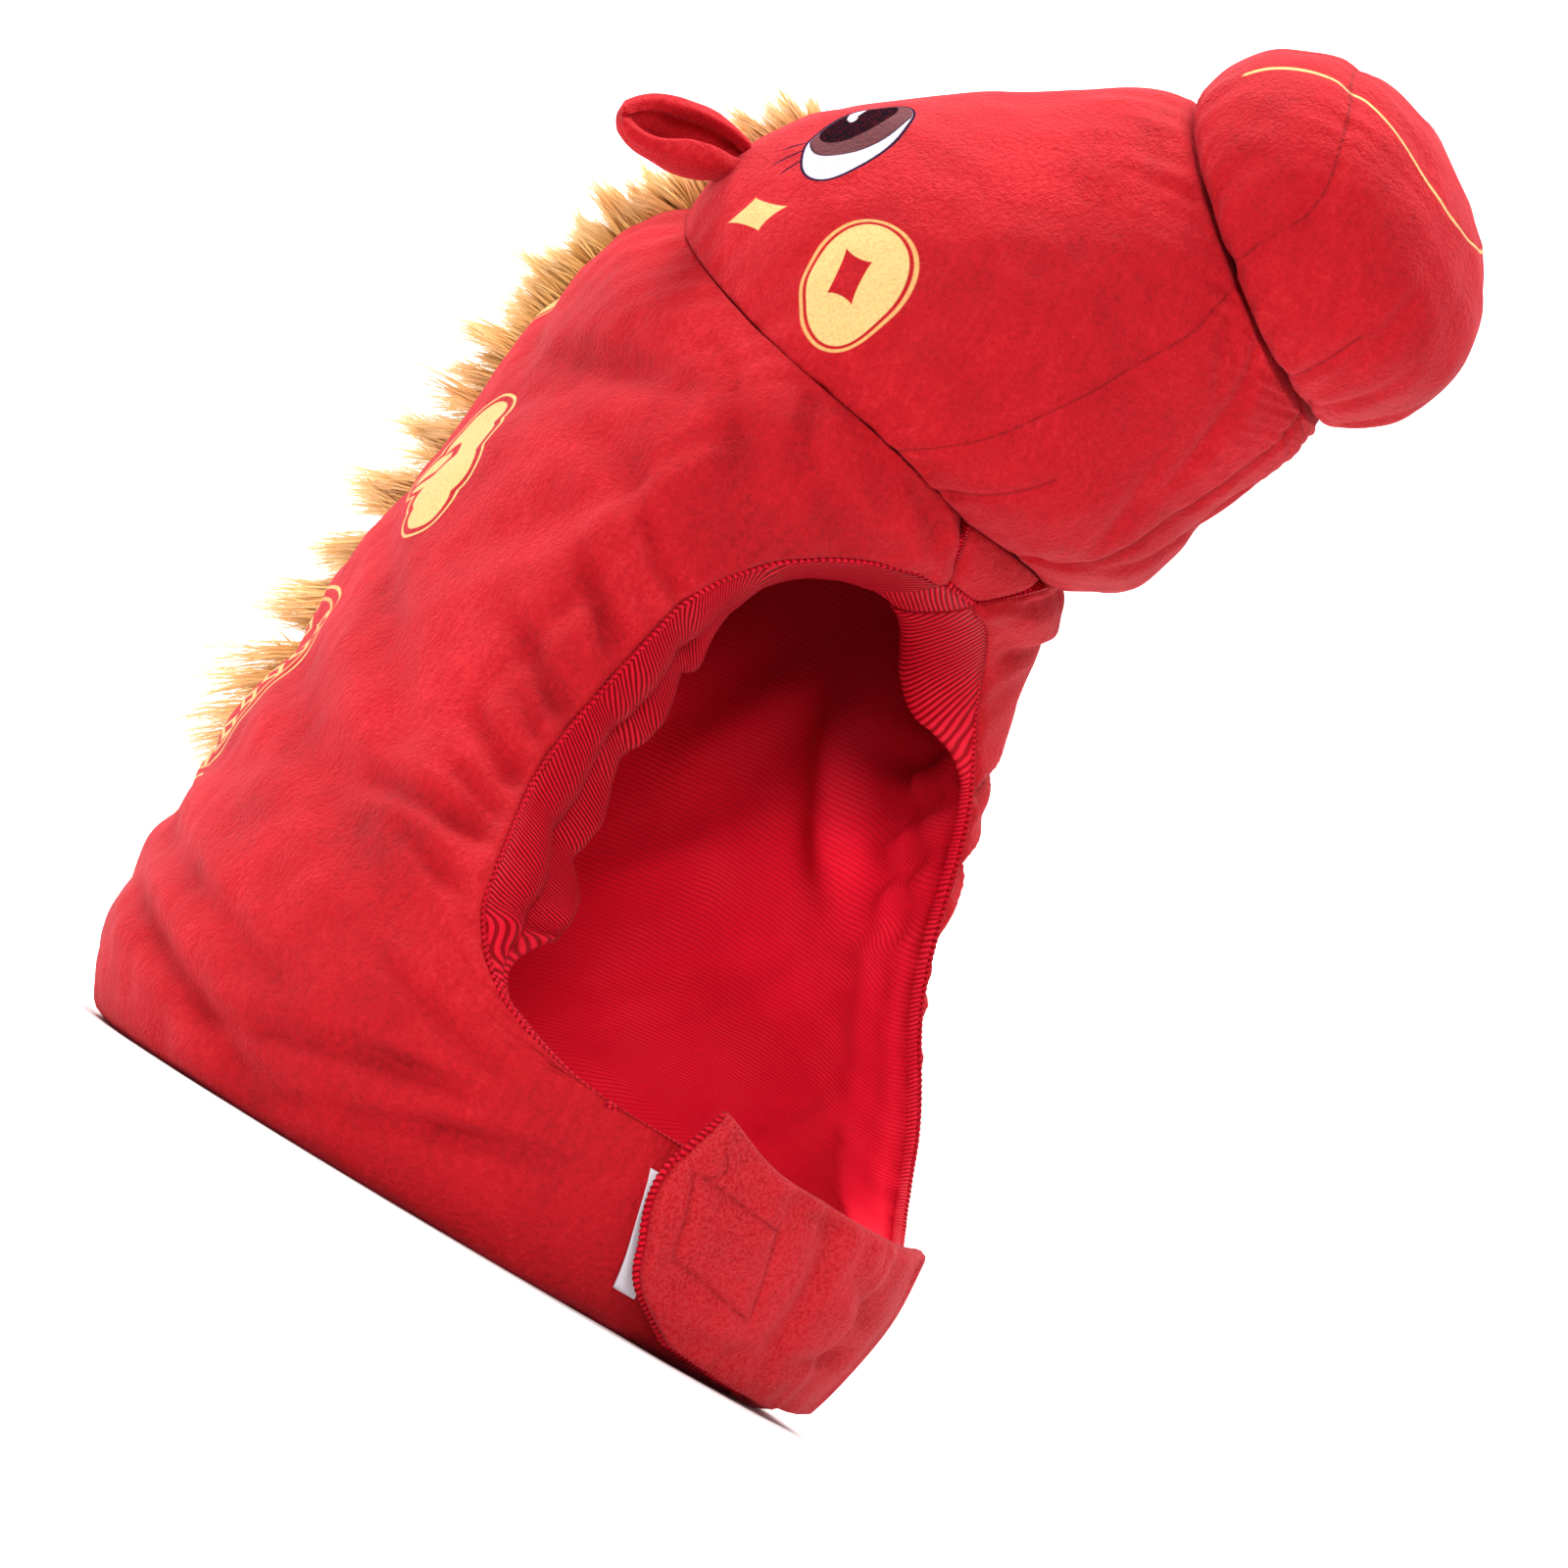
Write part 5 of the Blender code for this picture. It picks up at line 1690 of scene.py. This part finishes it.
def ear_face(lift):
    """One face of the left ear, from its base to its tip, its edges curled towards each other."""
    axis = unit(np.array(EAR_AXIS))
    cup = unit(less(np.array(EAR_SLIT_AXIS), axis))
    at = EAR_ROOT + (EAR_TIP - EAR_ROOT) * np.sin(np.linspace(0, pi / 2, EAR_ROWS))
    along = at[:, None]
    half_width = read(EAR, at)[:, 1:] * smooth(along, *EAR_NECK)
    share = np.sin(np.linspace(-pi / 2, pi / 2, EAR_ACROSS))
    bend = share * EAR_CURL * (1 - EAR_OPENS * smooth(along, *EAR_OPENS_AT))
    radius = half_width * EAR_WIDEN / EAR_CURL
    crease = EAR_CREASE * bell(share, EAR_CREASE_WIDTH) * (lift > 0)
    crease = crease * smooth(EAR_CREASE_END - along, 0.0, EAR_CREASE_FADE)
    thick = EAR_PADDING * np.sqrt(np.maximum(1 - share**4, 0.0)) * lift
    thick = thick * (1 + EAR_BULGE * bell(np.abs(share) - EAR_BULGE_AT, EAR_BULGE_WIDTH))
    thick = thick * np.minimum(1.0, (EAR_TIP + EAR_TIP_PAST - along) / EAR_TIP_ROUND)
    side = radius * np.sin(bend) - np.sin(bend) * thick
    rise = radius * (1 - np.cos(bend)) - radius + np.cos(bend) * thick - crease
    spots = np.array(EAR_BASE) + along[..., None] * axis + side[..., None] * np.cross(axis, cup)
    return spots + rise[..., None] * cup


def ears(finish):
    """Both padded ears: a curled leaf with a rounded rim and a crease down its middle."""
    front, back = ear_face(0.5), ear_face(-0.5)
    loop = np.concatenate((front, back[:, -2:0:-1]), axis=1)
    loop = loop + unevenness(loop, EAR_LUMPS)[..., None]
    # The inside of the cup is marked, which darkens it a little in the plush: painted shade in its
    # hollow
    inside = np.zeros(loop.shape[:2])
    inside[:, EAR_RIM : EAR_ACROSS - EAR_RIM] = 1.0
    cloth = np.stack((lengths_along(loop, 1), lengths_along(loop, 0), inside), axis=-1)
    for name, change in (("ear_left", 1.0), ("ear_right", MIRROR)):
        grid = loop * change
        made = tube(name + "_plush", grid, grid[[0, -1]].mean(axis=1), finish, cloth)
        hand_in(made, name)


# The mane

STRANDS = 22000  # in each half of the mane
STRAND_PARTS = 4
STRAND_WIDTHS = (0.00022, 0.00042)
TUFTS = 300
TUFT_STRETCH = 0.42  # length of the mane, against which strands find their nearest tuft
UNDERCOAT = 0.45  # share of the strands that are short and straight
UNDERCOAT_LENGTH = 0.66
TUFT_SIZES = (0.62, 1.20)
TUFT_LEAN = 0.22
STRAND_LENGTHS = (0.66, 1.04)
STRAND_STRAY = 0.055
STRAND_DROOP = (0.06, 0.24)
STRAND_BEND = 0.035
TOGETHER = (0.25, 0.90)  # how far the tips draw together, in the undercoat and in the tufts
MANE_SPREAD = 1.15
MANE_SUNK = (0.0018, 0.0030)  # in the middle, and more at the sides
SPLAY = (0.55, 0.25)  # by a strand's own side, and by its tuft's
TUFT_PULL = 0.9  # share of its tuft's lean that a strand takes
DROOP_BACK = 0.3  # how far a drooping strand sinks back to the cloth
TOGETHER_POWER = 1.2
TAPER_POWER = 0.7
ROOT_WIDTH = 0.9
MANE_SHORTEST = 0.30  # of its reach
MANE_ROWS = 240
MANE_HEAD_ROWS, MANE_BACK_ROWS = 11, 40
MANE_REACH = 0.034
MANE_LEAN = (radians(4), radians(40))  # downwards, at the forelock and at the mane's foot
BACKING_COLUMNS = 15
BACKING_THICKNESS = 0.0012
BACKING_HEIGHT = 0.0030
BACKING_EDGE = 0.0022
BACKING_SPREAD = 1.1
BACKING_LUMPS = ((0.0007, 0.006, 131),)
BACKING_CLOTH = (0.05, 0.5, 0.0)


def middle_line():
    """The middle line from the top of the head down the back, with outward directions."""
    rings, _ = head_rings(MANE_HEAD_ROWS)
    heights = np.linspace(SEAM_BACK, MANE_FOOT, MANE_BACK_ROWS)[1:]
    line = np.concatenate((rings[::-1, 0], section_point(heights, 0 * heights)))
    lengths = lengths_along(line, 0)
    at = np.linspace(lengths[-1] * (1 - MANE_SHARE), lengths[-1], MANE_ROWS)
    line = np.stack([np.interp(at, lengths, column) for column in line.T], axis=-1)
    way = unit(np.gradient(line, axis=0))
    return line, way, np.stack((0 * at, way[:, 2], -way[:, 1]), axis=-1)


def before(at):
    """Number of the point of the middle line before each share of the way, and what is left."""
    spot = at * (MANE_ROWS - 1)
    low = np.clip(spot.astype(int), 0, MANE_ROWS - 2)
    return low, (spot - low)[:, None]


def mane_strands(name, low_share, high_share, seed, finish):
    """Long pile in tufts: thin tapered strands whose tips draw together."""
    draw = np.random.default_rng(seed)
    line, way, out = middle_line()
    tufts = max(8, int(TUFTS * (high_share - low_share)))
    step = (high_share - low_share) / tufts
    tuft_at = low_share + step * (np.arange(tufts) + draw.uniform(0, 1, tufts))
    tuft_side = draw.uniform(-1, 1, tufts)
    tuft_lean = draw.normal(0, TUFT_LEAN, (tufts, 3))
    tuft_size = draw.uniform(*TUFT_SIZES, tufts)
    at = draw.uniform(low_share, high_share, STRANDS)
    side = draw.uniform(-1, 1, STRANDS)
    gap_along = (at[:, None] - tuft_at) * TUFT_STRETCH
    gap_aside = (side[:, None] - tuft_side) * MANE_HALF_WIDTH
    nearest = np.argmin(gap_along**2 + gap_aside**2, axis=1)
    low, rest = before(at)
    forward, outside = way[low], out[low]
    base = line[low] * (1 - rest) + line[low + 1] * rest
    base = base + (side * MANE_HALF_WIDTH * MANE_SPREAD)[:, None] * SIDEWAYS
    base = base - (MANE_SUNK[0] + MANE_SUNK[1] * side**2)[:, None] * outside
    reach = read(MANE_LENGTHS, at)[..., 1]
    full = MANE_REACH * (MANE_SHORTEST + (1 - MANE_SHORTEST) * reach)
    length = full * tuft_size[nearest] * draw.uniform(*STRAND_LENGTHS, STRANDS)
    under = draw.uniform(0, 1, STRANDS) < UNDERCOAT
    length = np.where(under, UNDERCOAT_LENGTH * full, length)
    turn = (MANE_LEAN[0] + (MANE_LEAN[1] - MANE_LEAN[0]) * at)[:, None]
    lean = np.cos(turn) * outside + np.sin(turn) * forward
    splay = (SPLAY[0] * side + SPLAY[1] * tuft_side[nearest])[:, None] * SIDEWAYS
    stray = draw.normal(0, STRAND_STRAY, (STRANDS, 3))
    aim = unit(lean + splay + tuft_lean[nearest] * TUFT_PULL + stray)
    tuft_low, _ = before(tuft_at[nearest])
    tuft_base = line[tuft_low] + (tuft_side[nearest] * MANE_HALF_WIDTH)[:, None] * SIDEWAYS
    tone = draw.uniform(0, 1, STRANDS)
    width = draw.uniform(*STRAND_WIDTHS, STRANDS)
    flat = unit(np.cross(aim, draw.normal(size=(STRANDS, 3))))
    droop = draw.uniform(*STRAND_DROOP, STRANDS)
    bend = draw.normal(0, STRAND_BEND, (STRANDS, 3))
    points, cloth = [], []
    for part in range(STRAND_PARTS + 1):
        share = part / STRAND_PARTS
        centre = base + (length * share)[:, None] * aim
        sinking = forward - DROOP_BACK * outside
        centre = centre + (length * droop * share**2)[:, None] * sinking
        centre = centre + (length * share**2)[:, None] * bend
        together = np.where(under, *TOGETHER)[:, None] * share**TOGETHER_POWER
        centre = centre * (1 - together) + together * (tuft_base + (centre - base))
        root = 1.0 if part else ROOT_WIDTH
        thin = (width * (1 - share) ** TAPER_POWER * root)[:, None] * flat
        spots = [centre - thin, centre + thin] if part < STRAND_PARTS else [centre]
        points += spots
        cloth += [np.stack((share + 0 * tone, tone, 0 * tone), axis=-1)] * len(spots)
    first = np.arange(STRANDS) * len(points)
    faces = []
    for part in range(STRAND_PARTS):
        corners = (0, 1, 3, 2) if part < STRAND_PARTS - 1 else (0, 1, 2)
        faces += np.stack([first + 2 * part + corner for corner in corners], axis=-1).tolist()
    points, cloth = (np.stack(values, axis=1) for values in (points, cloth))
    hand_in(make(name, points, faces, finish, cloth))


def mane_backing(finish):
    """The strip that the pile is sewn to, low and close to the cloth."""
    line, _, out = middle_line()
    share = np.linspace(-1, 1, BACKING_COLUMNS)
    height = BACKING_HEIGHT * np.sqrt(np.maximum(1 - share**2, 0.0)) - BACKING_EDGE * share**2
    aside = (share * MANE_HALF_WIDTH * BACKING_SPREAD)[:, None] * SIDEWAYS
    grid = line[:, None] + aside + height[:, None] * out[:, None]
    grid = grid + unevenness(grid, BACKING_LUMPS)[..., None] * out[:, None]
    cloth = np.broadcast_to(BACKING_CLOTH, grid.shape)
    made = make("mane_backing", grid, grid_faces(MANE_ROWS, BACKING_COLUMNS), finish, cloth)
    thicken(made, BACKING_THICKNESS, offset=-1.0)
    hand_in(made, "mane")


# The chin tab, the hook tape and the label

TAB_GRID = (60, 110)
TAB_WOOL = 0.6
TAB_PIPING_FROM = 60  # column of the lower edge at which the piping starts
STITCH_CORNERS = ((-0.0440, 0.0525), (-0.0330, 0.0290), (0.0030, 0.0246), (-0.0105, 0.0500))
STITCH_BOX = tuple(zip(STITCH_CORNERS, STITCH_CORNERS[1:] + STITCH_CORNERS[:1]))
MARK_END = 0.005
STITCH_MARK = (
    ((-0.0375, 0.0600), (-0.0350, 0.0560)),
    ((-0.0350, 0.0560), (-0.0385, 0.0530)),
)
# height 1, x 1, height 2, x 2, half_width, depth
TAB_CREASES = (
    (0.062, 0.0080, 0.020, 0.0200, 0.0060, 0.0028),
    (0.056, -0.0200, 0.058, 0.0150, 0.0034, 0.0014),
    (0.050, 0.0300, 0.040, 0.0560, 0.0050, 0.0022),
    (0.020, 0.0300, 0.030, 0.0560, 0.0040, 0.0016),
    (0.012, -0.0200, 0.016, 0.0120, 0.0032, 0.0012),
)
# height, seam, distance from it, reach, power
TAB_RIDGES = ((-0.0011, "box", 0.0, 0.0012, 2.0), (-0.0009, "mark", 0.0, 0.0010, 2.0))
QUILT_RISE, QUILT_EDGE = 0.0006, 0.006
TAB_LUMPS = ((0.0008, 0.014, 141),)
TAB_GATHERS = ((0.0009, "run", "side", 0.012, 0.012, 142, 0.004),)
TAB_UNDER_ROUND = 0.7
TAB_STEP_SOFT = (-0.004, 0.004)
TAB_CREASE_CLEAR, TAB_LUMPS_CLEAR = 0.005, 0.006
TAB_PIPING_AT = 0.35  # share of the way from the tab's under face to its outer face
TAB_PIPING_OUT = 0.0006
SHEET_COLUMNS = 24
TAPE_PITCH = 0.0011
LABEL_PITCH = 0.0006
LABEL_WAVE = 0.0006
SHEET_WAVES = 7.0  # radians of the wave from end to end


def band_face(x, heights):
    """Points over the chin band for grids of x values and heights, with outward directions."""
    angles = np.array([[angle_at(h, -s) for s, h in zip(*row)] for row in zip(x, heights)])
    return hood_face(heights, angles)


def chin_tab(finish, trim):
    """The padded tab, round at its edges, with a stitched box near its end and its piping."""
    shares = (np.linspace(0, 1, count) for count in TAB_GRID)
    up, along = np.meshgrid(*shares, indexing="ij")
    _, lower, upper = np.moveaxis(read(TAB_EDGES, along), -1, 0)
    x = TAB_FAR_END + (read(TAB_END, up)[..., 1] - TAB_FAR_END) * along
    heights = lower + (upper - lower) * up
    points, normals = band_face(x, heights)
    run, left, low, high = panel_lengths(points)
    side = np.minimum(np.minimum(low, high), np.minimum(run, left))
    near = GAP + (TAB_LIFT - GAP) * smooth(BAND_END + TAB_STEP - x, *TAB_STEP_SOFT)
    round_in = roll_in(side, TAB_THICKNESS / 2)
    box, mark = off_lines(x, heights, STITCH_BOX), off_lines(x, heights, STITCH_MARK, MARK_END)
    inside_box = smooth(box, 0.0, QUILT_EDGE) * (x < STITCH_CORNERS[2][0]) * (x > STITCH_CORNERS[0][0])
    creases = crease_depth(x, heights, TAB_CREASES) * smooth(side, 0.0, TAB_CREASE_CLEAR)
    lift = near + TAB_THICKNESS - round_in - creases
    off = {"box": box, "mark": mark, "run": run, "side": side}
    lift += ridges(off, TAB_RIDGES) + gathers(off, TAB_GATHERS) + QUILT_RISE * inside_box
    lift += unevenness(points, TAB_LUMPS) * smooth(side, 0.0, TAB_LUMPS_CLEAR)
    under = near + round_in * TAB_UNDER_ROUND
    levels = (lift, under, under + TAB_PIPING_AT * (lift - under))
    outer, inner, rim = (points + level[..., None] * normals for level in levels)
    # The creases go into the tab's colour as painted shade, with painted highlight on their shoulders
    cloth = np.stack((run, low, creases / CREASE_SHADE_FULL), axis=-1)
    seams = np.stack((box, mark, FAR + 0 * box), axis=-1)
    made = shell("chin_tab_plush", outer, inner, finish, cloth, seams)
    line = between(np.concatenate((rim[0, TAB_PIPING_FROM:], rim[1:, -1])), 4)
    piping("chin_tab_piping", line - TAB_PIPING_OUT * SIDEWAYS, TAB_PIPING, trim)
    hand_in(made, "chin_tab")


def small_sheet(name, corners, thickness, finish, node, wave):
    """A thin four-sided piece on the right-hand band: the label or the hook tape."""
    shares = np.linspace(0, 1, SHEET_COLUMNS)
    up, along = np.meshgrid(shares, shares, indexing="ij")
    far_low, far_high, near_low, near_high = np.array(corners)
    far_side = far_low + up[..., None] * (far_high - far_low)
    near_side = near_low + up[..., None] * (near_high - near_low)
    spot = far_side + along[..., None] * (near_side - far_side)
    points, normals = band_face(spot[..., 0], spot[..., 1])
    lift = GAP + thickness / 2 + wave * (np.sin(up * SHEET_WAVES) * 0.5 + 0.5)
    grid = points + lift[..., None] * normals
    run, _, low, _ = panel_lengths(grid)
    cloth = np.stack((run, low, 0 * low), axis=-1)
    made = make(name, grid, grid_faces(SHEET_COLUMNS, SHEET_COLUMNS), finish, cloth)
    thicken(made, thickness)
    hand_in(made, node)


# Floor, lights and camera

# The floor, seen along the camera's direction
FLOOR_NEAR = -4.0
FLOOR_FLAT = 2.0
FLOOR_BEND = 1.5
FLOOR_HEIGHT = 6.0
FLOOR_HALF = 6.0
FLOOR_ARC = 16
CLIP_END = 100


def aim_at(thing, spot, target, roll=0.0):
    """Puts an object at a spot, with its -Z axis towards the target and its up axis rolled."""
    back = unit(spot - target)
    right = unit(np.cross((0, 0, 1), back))
    up = np.cross(back, right)
    matrix = np.eye(4)
    matrix[:3, 0] = right * cos(roll) + up * sin(roll)
    matrix[:3, 1] = up * cos(roll) - right * sin(roll)
    matrix[:3, 2] = back
    matrix[:3, 3] = spot
    thing.matrix_world = Matrix(matrix.tolist())


def seen_from(azimuth, elevation):
    """Direction from the object to a place at an azimuth and an elevation, in radians."""
    flat = cos(elevation)
    return np.array((sin(azimuth) * flat, -cos(azimuth) * flat, sin(elevation)))


def lamp(name, spot, target, size, power):
    """A soft round light."""
    light = bpy.data.lights.new(name, "AREA")
    light.shape = "DISK"
    light.size = size
    light.energy = power
    made = bpy.data.objects.new(name, light)
    aim_at(made, spot, target)
    bpy.context.scene.collection.objects.link(made)


def studio():
    """Plain pale floor that curves up behind, and soft light."""
    arc = np.linspace(0, pi / 2, FLOOR_ARC)
    back = np.array((-sin(CAMERA_AZIMUTH), cos(CAMERA_AZIMUTH)))
    beside = np.array((back[1], -back[0]))
    curve = FLOOR_FLAT + FLOOR_BEND * np.sin(arc)
    away = np.concatenate(([FLOOR_NEAR, 0.0, FLOOR_FLAT], curve, [FLOOR_FLAT + FLOOR_BEND]))
    high = np.concatenate(([0.0] * 3, FLOOR_BEND - FLOOR_BEND * np.cos(arc), [FLOOR_HEIGHT]))
    sides = (-FLOOR_HALF, FLOOR_HALF)
    grid = np.array([[(*(back * a + beside * s), h) for s in sides] for a, h in zip(away, high)])
    n = Nodes("studio_floor")
    colour = n.mix(n.noise(0.4, 2.0) * 0.05, FLOOR_WHITE, FLOOR_GREY)
    finish = n.finished({"Base Color": colour, "Roughness": 0.9})
    make("studio_floor", grid, grid_faces(len(away), 2), finish, straight=False)
    world = bpy.data.worlds.new("studio")
    world.use_nodes = True
    background = world.node_tree.nodes["Background"].inputs
    background["Color"].default_value = (1, 1, 1, 1)
    background["Strength"].default_value = WORLD_LIGHT
    bpy.context.scene.world = world
    bpy.context.scene.view_settings.view_transform = "Standard"
    for name, azimuth, elevation, distance, size, power in LIGHTS:
        spot = LIGHT_TARGET + seen_from(radians(azimuth), radians(elevation)) * distance
        lamp(name, spot, LIGHT_TARGET, size, power)
    behind, height, aim_behind, aim_height, size, power = BACKDROP_LIGHT
    spot, target = (*(back * behind), height), (*(back * aim_behind), aim_height)
    lamp("backdrop", np.array(spot), np.array(target), size, power)


def photo_camera():
    """The camera of the photograph."""
    lens = bpy.data.cameras.new("camera")
    lens.sensor_width = SENSOR
    lens.lens = SENSOR * CAMERA_DISTANCE / VIEW_WIDTH
    lens.clip_end = CLIP_END
    camera = bpy.data.objects.new("camera", lens)
    bpy.context.scene.collection.objects.link(camera)
    target = np.array(CAMERA_TARGET)
    spot = target + seen_from(CAMERA_AZIMUTH, CAMERA_ELEVATION) * CAMERA_DISTANCE
    aim_at(camera, spot, target, CAMERA_ROLL)
    bpy.context.scene.camera = camera


def main():
    """Makes every piece, the studio and the camera."""
    hood_finish = plush("plush_hood", HOOD_PRINTS, (0,))
    hood_panel("hood_right_plush", -1, -BAND_END, hood_finish)
    hood_panel("hood_left_plush", 1, BAND_END, hood_finish)
    brow_gusset(plush("plush_gusset"))
    lining()
    head_cloth()
    muzzle_cloth()
    ears(plush("plush_ear"))
    pile = fur()
    mane_strands("mane_fur_upper", 0.0, 0.5, 151, pile)
    mane_strands("mane_fur_lower", 0.5, 1.0, 152, pile)
    mane_backing(pile)
    trim = tricot("tricot_piping", PIPING_RIB, PIPING_SLANT)
    opening_piping(trim)
    brow_seam(trim)
    chin_tab(plush("plush_tab", (), (0, 1), TAB_WOOL), trim)
    tape = woven("hook_tape", TAPE_DARK, TAPE_RED, TAPE_PITCH)
    small_sheet("hook_tape_patch", PATCH_CORNERS, PATCH_THICKNESS, tape, "hook_patch", 0.0)
    satin = woven("label_satin", LABEL_GREY, LABEL_WHITE, LABEL_PITCH)
    small_sheet("blank_label", LABEL_CORNERS, LABEL_THICKNESS, satin, "care_label", LABEL_WAVE)
    studio()
    photo_camera()


main()
